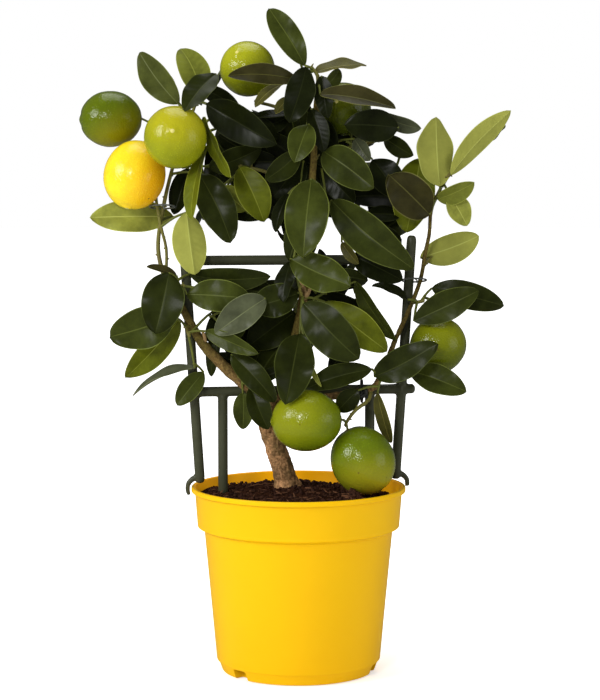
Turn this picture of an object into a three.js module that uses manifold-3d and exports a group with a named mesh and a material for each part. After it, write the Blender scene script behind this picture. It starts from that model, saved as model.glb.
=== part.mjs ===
// A potted limequat tree, millimetres, +Z up, origin at the middle of the pot's flat underside.
//
// The tree is a trunk that forks above the soil into a leader and two boughs. Masses of foliage
// grow from them: in each, leaves and fruit are joined by twigs to one short stem. The pot is full
// of soil, and a ladder of moulded plastic, hooked over its rim, holds the boughs apart.
//
// A place in the tree is written as the viewer in front of it sees it: [across, up, near], where
// across and up are measured in the plane through the pot's axis, and near is how far the place is
// brought from that plane towards the viewer, along the line of sight.

import * as THREE from 'three';
import { mergeVertices } from 'three/addons/utils/BufferGeometryUtils.js';
import Module from 'manifold-3d';

const wasm = await Module();
wasm.setup();

// Driving dimensions
const VIEWER = new THREE.Vector3(0, -1645, 397);
const GAP = 0.3;

const POT = {
  rim: 85, rimTop: 147, rimHeight: 4, collarTop: 82.2, collarFoot: 80.2, collarBase: 116,
  shelf: 74.9, shelfBase: 111, wallFoot: 65.1, cornerTop: 9, foot: 61, wall: 1.6, floor: 4,
  centreDisc: 32, ringInside: 53, recess: 1.5, edge: 1, insideCorner: 2.2, facets: 40,
};
const NOTCH = { wide: 14, high: 8, deep: 20, bearings: [-137, -17, 103] };
const SOIL = {
  edge: 134, middle: 145, flat: 13, belowMiddle: [[68, 8], [48, 4.5], [28, 1.2]],
};

const FRAME = {
  turn: 8, centreAway: 5, bar: 4, sides: 8, top: 345, foot: 150,
  postFoot: 78.5, postTop: 91, lowBar: 222.5, midBar: 326, stub: 94, legFoot: 110,
  leftLeg: -60.4, rightLeg: 57.4, cutterReach: 20, hookSides: 6,
};
// Places along a hook: distance out from the post's foot, height, and radius there
const HOOK = [[0, 155, 2.6], [5, 153.8, 2.4], [9.3, 149.6, 2.1], [9.9, 144, 1.9], [8.9, 140.5, 1.5]];
const RING = { middle: 2, sides: 4, steps: 14 };

const LIMB = { sides: 10, steps: 2, checks: 8, cutWide: 80, cutDeep: 20 };

const FRUIT = { rings: 7, sides: 9, nipple: 0.07 };
// Stations are a share of the blade's length and the fullness of its width there
const LEAF = {
  thick: 0.9, thickShare: 1 / 60, stations: [[0.3, 0.94], [0.68, 0.86]], bow: 0.07, leastBow: 0.4,
};
const STEM = { sides: 4, steps: 2 };
const TWIG = {
  stem: 1.7, spur: 1.15, tip: 0.85, sides: 3, back: 0.35, leastShare: 0.05, aside: 0.5, sunk: 3,
};
const FILL = {
  shortest: 36, longest: 54, slim: 0.4, tries: 300, cover: 0.95, behind: 2, back: 94, stalk: 34,
  spread: 70, rearward: 50, rearPull: 0.3, roll: 90, rollSpread: 70,
};
const FUSED_TOLERANCE = 0.05;

const COLOURS = {
  pot: [0xf5cf1e, 0.42], soil: [0x2e1b12, 0.95], bark: [0x7a5a3c, 0.85], foliage: [0x3f5a22, 0.5],
  frame: [0x2e3a2c, 0.5], wire: [0x6d736d, 0.45], tie: [0x1c1d1b, 0.7],
};

// Small helpers

/** Repeatable random numbers between 0 and 1 from a whole-number seed. */
function dice(seed) {
  let state = seed >>> 0;
  return () => {
    state = (state + 0x6d2b79f5) >>> 0;
    let mixed = Math.imul(state ^ (state >>> 15), 1 | state);
    mixed = (mixed + Math.imul(mixed ^ (mixed >>> 7), 61 | mixed)) ^ mixed;
    return ((mixed ^ (mixed >>> 14)) >>> 0) / 4294967296;
  };
}

/** The point seen at [across, up] in the plane of the pot's axis, brought near by so much. */
function place([across, up, near]) {
  const seen = new THREE.Vector3(across, 0, up);
  const share = (-VIEWER.y - near) / -VIEWER.y;
  return seen.sub(VIEWER).multiplyScalar(share).add(VIEWER);
}

/** Where a point is seen in the plane of the pot's axis. */
function seenAt(point) {
  const share = -VIEWER.y / (point.y - VIEWER.y);
  return [
    VIEWER.x + (point.x - VIEWER.x) * share,
    VIEWER.z + (point.z - VIEWER.z) * share,
  ];
}

/** A closed geometry as a solid that can be cut and joined. */
function solidOf(geometry) {
  const bare = geometry.index ? geometry.clone() : geometry;
  bare.deleteAttribute('normal');
  bare.deleteAttribute('uv');
  const merged = mergeVertices(bare, 1e-4);
  return new wasm.Manifold(new wasm.Mesh({
    numProp: 3,
    vertProperties: new Float32Array(merged.attributes.position.array),
    triVerts: new Uint32Array(merged.index.array),
  }));
}

/** A solid made of rings of points, closed at each end by a point or a flat face. */
function skin(rings) {
  const positions = [];
  const starts = [];
  for (const ring of rings) {
    starts.push(positions.length / 3);
    for (const point of ring) positions.push(point.x, point.y, point.z);
  }
  const faces = [];
  for (let row = 0; row + 1 < rings.length; row += 1) {
    const lower = rings[row].length;
    const upper = rings[row + 1].length;
    const sides = Math.max(lower, upper);
    for (let side = 0; side < sides; side += 1) {
      const next = (side + 1) % sides;
      const a = starts[row] + side % lower;
      const b = starts[row] + next % lower;
      const c = starts[row + 1] + side % upper;
      const d = starts[row + 1] + next % upper;
      if (lower > 1) faces.push(a, b, c);
      if (upper > 1) faces.push(b, d, c);
    }
  }
  const last = starts[rings.length - 1];
  for (let side = 1; side + 1 < rings[0].length; side += 1) faces.push(0, side + 1, side);
  for (let side = 1; side + 1 < rings.at(-1).length; side += 1) {
    faces.push(last, last + side, last + side + 1);
  }
  return new wasm.Manifold(new wasm.Mesh({
    numProp: 3,
    vertProperties: new Float32Array(positions),
    triVerts: new Uint32Array(faces),
  }));
}

/** The largest closed body of a solid, with its loose scraps and sealed hollows left out. */
function wholeBody(solid) {
  const bodies = solid.decompose();
  return bodies.reduce((best, body) => (body.volume() > best.volume() ? body : best));
}

/** A tapering round limb through a list of points, with a radius at each of them. */
function limb(points, radii, sides, stepsPerSpan, swell = 0) {
  const curve = points.length > 2
    ? new THREE.CatmullRomCurve3(points, false, 'centripetal')
    : new THREE.LineCurve3(points[0], points[1]);
  const spans = points.length - 1;
  const steps = spans * stepsPerSpan;
  const frames = curve.computeFrenetFrames(steps, false);
  const rings = [];
  for (let step = 0; step <= steps; step += 1) {
    const along = step / steps;
    const span = Math.min(Math.floor(along * spans), spans - 1);
    const part = along * spans - span;
    const radius = THREE.MathUtils.lerp(radii[span], radii[span + 1], part) + swell;
    const centre = curve.getPoint(along);
    const ring = [];
    for (let side = 0; side < sides; side += 1) {
      const angle = (2 * Math.PI * side) / sides;
      ring.push(centre.clone()
        .addScaledVector(frames.normals[step], radius * Math.cos(angle))
        .addScaledVector(frames.binormals[step], radius * Math.sin(angle)));
    }
    rings.push(ring);
  }
  return skin(rings);
}

/** A straight rod with a flat face at each end. */
function rod(from, to, radius, sides = FRAME.sides) {
  return limb([from, to], [radius, radius], sides, 1);
}

// Leaves, fruit and twigs

/** The three directions of a leaf: along it, across it, and out of its upper face. */
function leafAxes(foot, tip, roll) {
  const along = tip.clone().sub(foot).normalize();
  const towards = VIEWER.clone().sub(foot).normalize();
  const face = towards.addScaledVector(along, -towards.dot(along)).normalize();
  face.applyAxisAngle(along, THREE.MathUtils.degToRad(roll));
  const across = new THREE.Vector3().crossVectors(along, face);
  return { along, across, face };
}

/**
 * A leaf and its stalk in one skin: a slim blade with a keel under its midrib, bowed along its
 * length, on a three-sided stalk that starts inside the twig that bears it.
 */
function leafSolid(leaf, start, swell = 0) {
  const { along, across, face } = leafAxes(leaf.foot, leaf.tip, leaf.roll);
  const length = leaf.foot.distanceTo(leaf.tip);
  const stalk = leaf.foot.clone().sub(start).normalize();
  const bend = new THREE.Quaternion().setFromUnitVectors(along, stalk);
  const halfBend = new THREE.Quaternion().slerp(bend, 0.5);
  const ring = (centre, half, above, below, turn) => {
    const side = across.clone().applyQuaternion(turn);
    const out = face.clone().applyQuaternion(turn);
    const point = (sideways, high) => centre.clone()
      .addScaledVector(side, sideways)
      .addScaledVector(out, high);
    return [point(half, above), point(0, -below), point(-half, above)];
  };
  const stalkStart = TWIG.spur + swell;
  const stalkEnd = TWIG.tip + swell;
  const rings = [
    ring(start, stalkStart, stalkStart / 2, stalkStart, bend),
    ring(leaf.foot, stalkEnd, stalkEnd / 2, stalkEnd, halfBend),
  ];
  for (const [share, fullness] of LEAF.stations) {
    const half = (leaf.wide / 2) * fullness + swell;
    const thick = Math.max(LEAF.thick, length * LEAF.thickShare) / 2 + swell;
    const centre = leaf.foot.clone()
      .addScaledVector(along, length * share)
      .addScaledVector(face, leaf.bow * length * 4 * share * (1 - share));
    rings.push(ring(centre, half, thick, thick, new THREE.Quaternion()));
  }
  rings.push([leaf.tip.clone().addScaledVector(along, swell)]);
  return skin(rings);
}

/** A fruit: an egg-shaped body with a small nipple at the end away from its stalk. */
function fruitSolid(fruit, swell = 0) {
  const axis = fruit.stalk.clone().negate();
  const turn = new THREE.Quaternion().setFromUnitVectors(new THREE.Vector3(0, 0, 1), axis);
  const rings = [];
  for (let row = 0; row <= FRUIT.rings; row += 1) {
    const angle = -Math.PI / 2 + (Math.PI * row) / FRUIT.rings;
    const high = Math.sin(angle) * (fruit.long / 2 + swell);
    const radius = Math.cos(angle) * (fruit.girth / 2 + swell);
    const nipple = row === FRUIT.rings ? fruit.long * FRUIT.nipple * 0.5 : 0;
    const pole = row === 0 || row === FRUIT.rings;
    const ring = [];
    for (let side = 0; side < (pole ? 1 : FRUIT.sides); side += 1) {
      const bearing = (2 * Math.PI * side) / FRUIT.sides;
      const point = new THREE.Vector3(radius * Math.cos(bearing), radius * Math.sin(bearing), high + nipple);
      ring.push(point.applyQuaternion(turn).add(fruit.centre));
    }
    rings.push(ring);
  }
  return skin(rings);
}

/**
 * The nearest place on a list of twigs to a point, moved back towards the twig's foot, and a
 * little aside so that no two stalks start at the same spot.
 */
function nearestTwig(twigs, point, random) {
  let best = null;
  for (const twig of twigs) {
    const segment = new THREE.Line3(twig.from, twig.to);
    const share = segment.closestPointToPointParameter(point, true);
    const distance = segment.at(share, new THREE.Vector3()).distanceTo(point);
    if (!best || distance < best.distance) {
      const length = segment.distance();
      const stepped = Math.max(TWIG.leastShare, share - (TWIG.back * distance) / Math.max(length, 1));
      best = { distance, at: segment.at(Math.min(stepped, share), new THREE.Vector3()) };
    }
  }
  const aside = () => TWIG.aside * (random() - 0.5);
  best.at.add(new THREE.Vector3(aside(), aside(), aside()));
  return best;
}

// The limbs

const TRUNK_PATH = [
  [-8, 145.6, -2], [-10.5, 153, -1], [-17.5, 176, 3], [-24, 199, 6], [-20.5, 208, 8], [-12, 218, 8],
  [-6.5, 246, 8], [3.5, 293, 8], [7.5, 340, 8], [11.5, 399, 8], [14, 448, 8], [15, 461, 8],
].map(place);
const TRUNK_RADII = [10.6, 8.9, 8.2, 7.6, 6.6, 4.6, 4.2, 3.8, 3.3, 2.8, 2.3, 2];

const LEFT_PATH = [
  [-24, 206, 7], [-34, 221, 9], [-50, 234, 11], [-74, 258, 14.5], [-86, 277.6, 16.5],
  [-98, 301, 13], [-105.5, 312, 9],
].map(place);
const LEFT_RADII = [5.2, 4.9, 4.6, 4, 3.3, 2.7, 2.6];

const RIGHT_PATH = [[-18, 209, 8], [2, 214, 7], [34, 219.5, 4], [57, 223.5, 3.5]].map(place);
const RIGHT_RADII = [3.6, 3.3, 3, 2.8];

const RIGHT_UPPER_PATH = [
  [60, 226, 3.5], [68.7, 242, 1], [76.6, 263.4, -3], [89, 291, -7], [96.4, 312, -12],
  [99.6, 331, -12], [102.8, 346.6, -10], [104.4, 366, -8], [112, 383.5, -8],
].map(place);
const RIGHT_UPPER_RADII = [2.8, 2.6, 2.5, 2.4, 2.3, 2.2, 2.1, 2, 1.9];

const LIMB_PATHS = {
  trunk: { path: TRUNK_PATH, radii: TRUNK_RADII },
  left: { path: LEFT_PATH, radii: LEFT_RADII },
  right: { path: RIGHT_PATH, radii: RIGHT_RADII },
  rightUpper: { path: RIGHT_UPPER_PATH, radii: RIGHT_UPPER_RADII },
};

/** A limb as it grows, before it is cut clear of others, made larger all round by the swell. */
function limbBlank(name, swell = 0) {
  const { path, radii } = LIMB_PATHS[name];
  return limb(path, radii, LIMB.sides, LIMB.steps, swell);
}

/** The trunk with its leader, flared at the root and cut off flat where it meets the soil. */
function trunkSolid(swell = 0) {
  const below = new THREE.BoxGeometry(LIMB.cutWide, LIMB.cutWide, LIMB.cutDeep);
  below.translate(TRUNK_PATH[0].x, TRUNK_PATH[0].y, SOIL.middle + GAP - LIMB.cutDeep / 2);
  return wholeBody(limbBlank('trunk', swell).subtract(solidOf(below)));
}

/** A bough, cut clear of the limbs that it springs from. */
function boughSolid(name, cutters) {
  return wholeBody(cutters.reduce((left, cutter) => left.subtract(KEEP_CLEAR[cutter]), limbBlank(name)));
}

const KEEP_CLEAR = {
  trunk: trunkSolid(GAP),
  left: limbBlank('left', GAP),
  right: limbBlank('right', GAP),
  rightUpper: limbBlank('rightUpper', GAP),
};

const LIMBS = {
  trunk: trunkSolid(),
  left: boughSolid('left', ['trunk']),
  right: boughSolid('right', ['trunk', 'left']),
  rightUpper: boughSolid('rightUpper', ['right']),
};

// The masses of foliage. A stem, and any twig beside it, is a list of places [across, up, near].
// A leaf is [foot across, foot up, tip across, tip up, width, foot near, tip near, roll], where
// roll turns its upper face away from the viewer, in degrees. A fruit has its centre, length,
// girth, and the direction from its middle to its stalk. The fill is leaves that stand behind
// those listed, at the depths given, and fill the crown out to its back.

const MASSES = [
  {
    name: 'fruit_spray', seed: 11, on: 'right',
    stem: [[57, 223.5, 3.5], [55.5, 215.5, 9], [46, 208, 16], [39.5, 200, 22], [37, 195, 26]],
    fruits: [
      { centre: [6.5, 199, 31], long: 55, girth: 48, stalk: [1, 0.04, 0.05] },
      { centre: [51, 167, 26], long: 55, girth: 50, stalk: [-0.45, 0.9, -0.05] },
    ],
    leaves: [],
    fill: { count: 0, nearest: 0, furthest: 0 },
  },
  {
    name: 'left_crown', seed: 23, on: 'left',
    stem: [
      [-105.5, 312, 9], [-110, 330, 5], [-110, 345, 4], [-106, 368, 4], [-103, 382, 0],
      [-97, 404, -9], [-88, 428, -10], [-81, 447, -3], [-79, 455, 3],
    ],
    twigs: [[[-104, 318, 8], [-104, 335, 8], [-108, 352, 11], [-111, 368, 9], [-112, 378, 4]]],
    fruits: [
      { centre: [-146.7, 436.5, -13], long: 49, girth: 44, stalk: [1, 0.03, -0.15] },
      { centre: [-96.3, 421.5, 41], long: 50, girth: 47, stalk: [0.1, 0.12, -1] },
      { centre: [-128.4, 393, 9], long: 55, girth: 48, stalk: [0.2, 0.95, -0.3] },
    ],
    leaves: [
      [-94, 448, -124, 488, 24, -6, -20, -12],
      [-76, 457, -92, 491, 25, -6, -16, 20],
      [-64.5, 471.5, -89, 442.5, 21, 22, 54, 24],
      [-76, 461, -46, 446, 14, -6, -2, 10],
      [-86, 453, -57, 482, 20, -14, -38, 78],
      [-72, 448, -17, 417, 29, 8, 30, 12],
      [-74, 438, -53, 391, 17, 22, 40, 62],
      [-72, 415, -84, 358, 20, 24, 38, 58],
      [-88, 363.5, -82, 314.5, 27, 17, 26, 172],
      [-98, 360, -164, 359.5, 27, -12, -2, 8],
      [-78, 394, -53, 340, 28, 4, 18, -6],
      [-70, 399, -29, 414, 22, -24, -14, 15],
      [-86, 398, -98, 362, 18, -16, -8, 12],
    ],
    fill: { count: 8, nearest: -26, furthest: -66 },
  },
  {
    name: 'centre_front', seed: 37, on: 'trunk',
    stem: [[3.5, 293, 8], [3, 297, 15], [1, 303, 24]],
    leaves: [
      [1, 268, -10, 212, 32, 22, 50, -8],
      [4, 292, 48, 248, 33, 24, 38, 10],
      [-6, 327, 41, 306, 28, 26, 42, -10],
      [10, 390, 4, 328, 34, 22, 40, 4],
      [0, 300, -38, 289, 26, 20, 24, 10],
      [-6, 325, -12, 293, 16, 14, 26, 30],
      [21, 293, 70, 254, 27, 10, 16, -14],
      [8, 246, 18, 226, 4, 28, 34, 20],
      [45, 309, 77, 263, 15, 4, 4, 32],
    ],
    fill: { count: 0, nearest: 0, furthest: 0 },
  },
  {
    name: 'top', seed: 41, on: 'trunk',
    stem: [[15, 461, 8], [15, 470, 9], [10, 477, 11]],
    leaves: [
      [5, 478, -23, 522, 20.5, 4, -8, 10],
      [6, 477, -7, 434, 23, 16, 30, -12],
      [-1, 467, -55, 470, 17, 18, 38, 24],
      [13, 473, 53, 478, 20, 6, -6, -66],
      [21, 461, 32, 475, 13, 2, -6, 30],
      [17, 456, 76, 445, 20, 22, 36, -44],
      [-14, 463, -34, 446, 10, 12, 22, 40],
    ],
    fill: { count: 4, nearest: -14, furthest: -46 },
  },
  {
    name: 'upper_left', seed: 53, on: 'trunk',
    stem: [[13, 432, 8], [0, 438, -8], [-18, 446, -22], [-34, 450, -30]],
    fruits: [
      { centre: [-39.7, 475.2, -8], long: 44, girth: 43, stalk: [0.35, -0.55, -0.75] },
    ],
    leaves: [
      [8, 432, -3, 403, 22, 18, 30, 8],
      [-6, 440, -38, 437, 14, -6, 2, 66],
      [-8, 453, -18, 441, 9, 6, 12, 30],
      [1, 411, -26, 389, 19, 12, 22, -10],
    ],
    fill: { count: 6, nearest: -30, furthest: -78 },
  },
  {
    name: 'upper_right', seed: 67, on: 'trunk',
    stem: [[13, 425, 8], [22, 416, -16], [40, 414, -34], [62, 420, -36], [74, 424, -24]],
    fruits: [
      { centre: [36, 444, -20], long: 43, girth: 42, stalk: [0.3, -0.25, -0.9] },
    ],
    leaves: [
      [78, 430, 36, 432, 26, 4, 14, -8],
      [63, 440, 96, 429, 16, -8, -2, 40],
      [67, 422, 90, 408, 15, -12, -6, 20],
      [20, 411, 59, 383, 28, 16, 36, 6],
      [58, 405, 80, 376, 26, -10, -2, -14],
      [44, 421, 56, 404, 13, -4, 2, 14],
      [15, 437, 30, 414, 16, -8, -2, 10],
    ],
    fill: { count: 8, nearest: -40, furthest: -84 },
  },
  {
    name: 'middle_left', seed: 71, on: 'trunk',
    stem: [[10.5, 382, 8], [-6, 388, -2], [-28, 396, -10], [-46, 400, -14]],
    leaves: [
      [-46, 399, -27, 356, 27, 0, 4, -10],
      [-61, 383, -41, 365, 18, -10, -8, 10],
      [4, 404, -20, 375, 26, -4, 0, 8],
      [-8, 378, -18, 348, 11, 4, 8, 20],
    ],
    fill: { count: 8, nearest: -26, furthest: -88 },
  },
  {
    name: 'middle_right', seed: 83, on: 'trunk',
    stem: [[9, 360, 8], [22, 366, 8], [34, 366, 4], [50, 358, -8], [60, 350, -20]],
    leaves: [
      [26, 373, 91, 319, 32, 16, 34, 8],
      [42, 330, 82, 310, 22, 0, 6, -10],
      [34, 340, 47, 323, 9, 6, 10, 20],
      [18, 398, 44, 371, 20, -4, 4, 8],
    ],
    fill: { count: 9, nearest: -30, furthest: -90 },
  },
  {
    name: 'right_crown', seed: 97, on: 'rightUpper',
    stem: [[112, 383.5, -8], [116, 390, -8], [121, 396, -10]],
    leaves: [
      [110.5, 384, 107.5, 438, 31, -2, -8, -158],
      [119.5, 393, 166, 443, 19, -8, -16, -160],
      [109, 374, 138, 387, 19, 0, 8, 36],
      [118.5, 377, 132.5, 353, 19, -4, 0, -20],
      [103, 362, 71, 393, 33, 2, 16, -6],
      [95, 406, 85, 348, 34, -26, -18, 8],
    ],
    fill: { count: 7, nearest: -36, furthest: -70 },
  },
  {
    name: 'right_side', seed: 101, on: 'rightUpper',
    stem: [[98.5, 322, -12], [102, 326, -18], [104, 328, -24]],
    leaves: [
      [96, 328, 142, 345, 26, -22, -14, 168],
    ],
    fill: { count: 5, nearest: -34, furthest: -60 },
  },
  {
    name: 'right_middle', seed: 107, on: 'rightUpper',
    stem: [[90, 293, -7], [94, 293, -2], [99, 294, 0]],
    leaves: [
      [105, 304, 162, 290, 23, -6, -4, -20],
      [91, 278, 142, 302, 24, 6, 12, -10],
      [86, 295, 58, 306, 16, 6, 16, 64],
    ],
    fill: { count: 4, nearest: -12, furthest: -50 },
  },
  {
    name: 'right_low', seed: 113, on: 'rightUpper',
    stem: [[66, 237, 2], [72, 238, 8], [80, 238, 10], [86, 238, 8]],
    fruits: [
      { centre: [110, 258.7, -6], long: 46, girth: 44, stalk: [-0.55, -0.5, 0.25] },
    ],
    leaves: [
      [60, 234, 110, 260, 25, 18, 32, -8],
      [87, 239, 133, 222, 23, 10, 20, -12],
      [58, 240, 5, 224, 19, 22, 22, 14],
      [47, 223, 31, 206.5, 17, 13, 10.5, -12],
      [62.5, 221, 73.5, 181, 12, 12, 6, 35],
    ],
    fill: { count: 4, nearest: -12, furthest: -44 },
  },
  {
    name: 'left_side', seed: 127, on: 'left',
    stem: [[-98, 301, 13], [-94, 305, 19], [-90, 306, 24]],
    leaves: [
      [-102, 316, -113, 268, 34, 22, 32, 6],
      [-86, 315, -22, 313, 20, 12, 22, 18],
      [-88, 299, -38, 296, 25, 24, 30, -8],
      [-96, 314, -119.5, 321, 9, 16, 13, 50],
    ],
    fill: { count: 4, nearest: 0, furthest: -44 },
  },
  {
    name: 'left_low', seed: 139, on: 'left',
    stem: [[-84, 274, 16], [-88, 272, 22], [-86, 266, 27]],
    leaves: [
      [-99, 281, -149, 265.5, 33, 16, 12, -8],
      [-94, 279.5, -137, 233, 24, 22, 6, -24],
      [-82, 241, -131, 219, 20, 19, 8, 74],
      [-75, 237.5, -96, 211, 17, 12, 20, 10],
      [-73, 270, -32, 252, 14, 26, 44, 16],
      [-26, 296, -66, 268, 26, 31, 35, 10],
      [-60, 290, -72, 262, 16, 2, 6, -16],
    ],
    fill: { count: 4, nearest: -20, furthest: -56 },
  },
  {
    name: 'low_middle', seed: 149, on: 'left',
    stem: [[-48, 232.5, 11], [-46, 236, 18], [-44, 234, 22]],
    leaves: [
      [-53, 252, -18, 214, 19, 20, 28, -6],
      [-44, 221, -44, 192, 16, 14, 10, 10],
      [-38, 226, -24, 192, 19, 20, 24, -8],
    ],
    fill: { count: 0, nearest: 0, furthest: 0 },
  },
  {
    name: 'back_high', seed: 151, on: 'trunk',
    stem: [[12.5, 408, 8], [14, 406, -10], [12, 412, -30], [4, 424, -52], [-4, 432, -62]],
    leaves: [],
    fill: { count: 10, nearest: -48, furthest: -96 },
  },
  {
    name: 'back_low', seed: 163, on: 'trunk',
    stem: [[5, 306, 8], [6, 308, -10], [2, 300, -34], [-10, 296, -54]],
    leaves: [
      [-3, 285, -40, 258, 30, -18, -12, 4],
      [14, 300, 70, 268, 24, -8, -6, 6],
    ],
    fill: { count: 12, nearest: -26, furthest: -96 },
  },
];

// Growing the masses

/** How far a point lies outside the bark of a limb. */
function distanceFromLimb(name, point) {
  const { path, radii } = LIMB_PATHS[name];
  const curve = new THREE.CatmullRomCurve3(path, false, 'centripetal');
  const steps = (path.length - 1) * LIMB.checks;
  let nearest = Infinity;
  for (let step = 0; step <= steps; step += 1) {
    const span = Math.min(Math.floor(step / LIMB.checks), path.length - 2);
    const radius = THREE.MathUtils.lerp(radii[span], radii[span + 1], step / LIMB.checks - span);
    nearest = Math.min(nearest, curve.getPoint(step / steps).distanceTo(point) - radius);
  }
  return nearest;
}

/** Whether two boxes meet. */
function boxesMeet(one, other) {
  const meetAlong = (axis) => one.min[axis] <= other.max[axis] && other.min[axis] <= one.max[axis];
  return [0, 1, 2].every(meetAlong);
}

/** The solids that foliage keeps clear of, each with its box. */
class Neighbours {
  constructor() {
    this.list = [];
  }

  add(solid, owner) {
    this.list.push({ solid, owner, box: solid.boundingBox() });
  }

  /** The owner of the first solid that this one meets, among those that the test accepts. */
  met(solid, accepts) {
    const box = solid.boundingBox();
    const hit = this.list.find((item) => accepts(item.owner) && boxesMeet(box, item.box)
      && !solid.intersect(item.solid).isEmpty());
    return hit ? hit.owner : null;
  }
}

/** How much a leaf is bowed along its length, as a seeded share of the length. */
function seededBow(random) {
  return LEAF.bow * (LEAF.leastBow + random());
}

/** A listed leaf with its places in space and its seeded bow. */
function leadLeaf(row, random) {
  const [across, up, toAcross, toUp, wide, near, toNear, roll] = row;
  return {
    foot: place([across, up, near]),
    tip: place([toAcross, toUp, toNear]),
    wide,
    roll,
    bow: seededBow(random),
  };
}

// The listed leaves and fruit as the viewer sees them
const SEEN = MASSES.flatMap((mass) => [
  ...mass.leaves.map(([across, up, toAcross, toUp, wide, near, toNear, roll]) => ({
    from: new THREE.Vector2(across, up),
    to: new THREE.Vector2(toAcross, toUp),
    near,
    toNear,
    reach: (wide / 2) * FILL.cover * Math.abs(Math.cos(THREE.MathUtils.degToRad(roll))),
    tapers: true,
  })),
  ...(mass.fruits ?? []).map(({ centre: [across, up, near], girth }) => ({
    from: new THREE.Vector2(across, up),
    to: new THREE.Vector2(across, up),
    near,
    toNear: near,
    reach: (girth / 2) * FILL.cover,
    tapers: false,
  })),
]);

/** How far behind a seen leaf or fruit a place is, or null where that doesn't cover it. */
function depthBehind(seen, spot, near) {
  const line = seen.to.clone().sub(seen.from);
  const share = spot.clone().sub(seen.from).dot(line) / (line.lengthSq() || 1);
  const along = THREE.MathUtils.clamp(share, 0, 1);
  const fullness = seen.tapers ? Math.sqrt(4 * along * (1 - along)) : 1;
  const distance = spot.distanceTo(seen.from.clone().addScaledVector(line, along));
  if (distance >= seen.reach * fullness) return null;
  return THREE.MathUtils.lerp(seen.near, seen.toNear, along) - near;
}

/** Whether a point lies behind leaves or fruit that the viewer sees, and in front of none. */
function hidden(point) {
  const spot = new THREE.Vector2(...seenAt(point));
  const depths = SEEN.map((seen) => depthBehind(seen, spot, -point.y)).filter((depth) => depth !== null);
  return depths.length > 0 && depths.every((depth) => depth > FILL.behind);
}

/** A leaf behind the listed ones, pointing outwards, or null where it would show in a gap. */
function fillLeaf(mass, centre, random) {
  const rows = mass.leaves.length ? mass.leaves : MASSES.flatMap((other) => other.leaves);
  const row = rows[Math.floor(random() * rows.length)];
  const share = random();
  const near = THREE.MathUtils.lerp(mass.fill.nearest, mass.fill.furthest, random());
  const foot = place([
    THREE.MathUtils.lerp(row[0], row[2], share),
    THREE.MathUtils.lerp(row[1], row[3], share),
    near,
  ]);
  const outward = new THREE.Vector3(
    foot.x - centre.x + FILL.spread * (random() - 0.5),
    FILL.rearward * random() + (FILL.back - foot.y) * FILL.rearPull,
    foot.z - centre.z + FILL.spread * (random() - 0.5),
  ).normalize();
  const length = THREE.MathUtils.lerp(FILL.shortest, FILL.longest, random());
  const tip = foot.clone().addScaledVector(outward, length);
  const leaf = {
    foot,
    tip,
    wide: length * FILL.slim,
    roll: FILL.roll + FILL.rollSpread * (random() - 0.5),
    bow: seededBow(random),
  };
  const within = tip.y < FILL.back && foot.y < FILL.back;
  const middle = foot.clone().lerp(tip, 0.5);
  const half = leafAxes(foot, tip, leaf.roll).across.multiplyScalar(leaf.wide / 2);
  const margins = [middle.clone().add(half), middle.clone().sub(half)];
  return within && [foot, middle, tip, ...margins].every(hidden) ? leaf : null;
}

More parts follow.
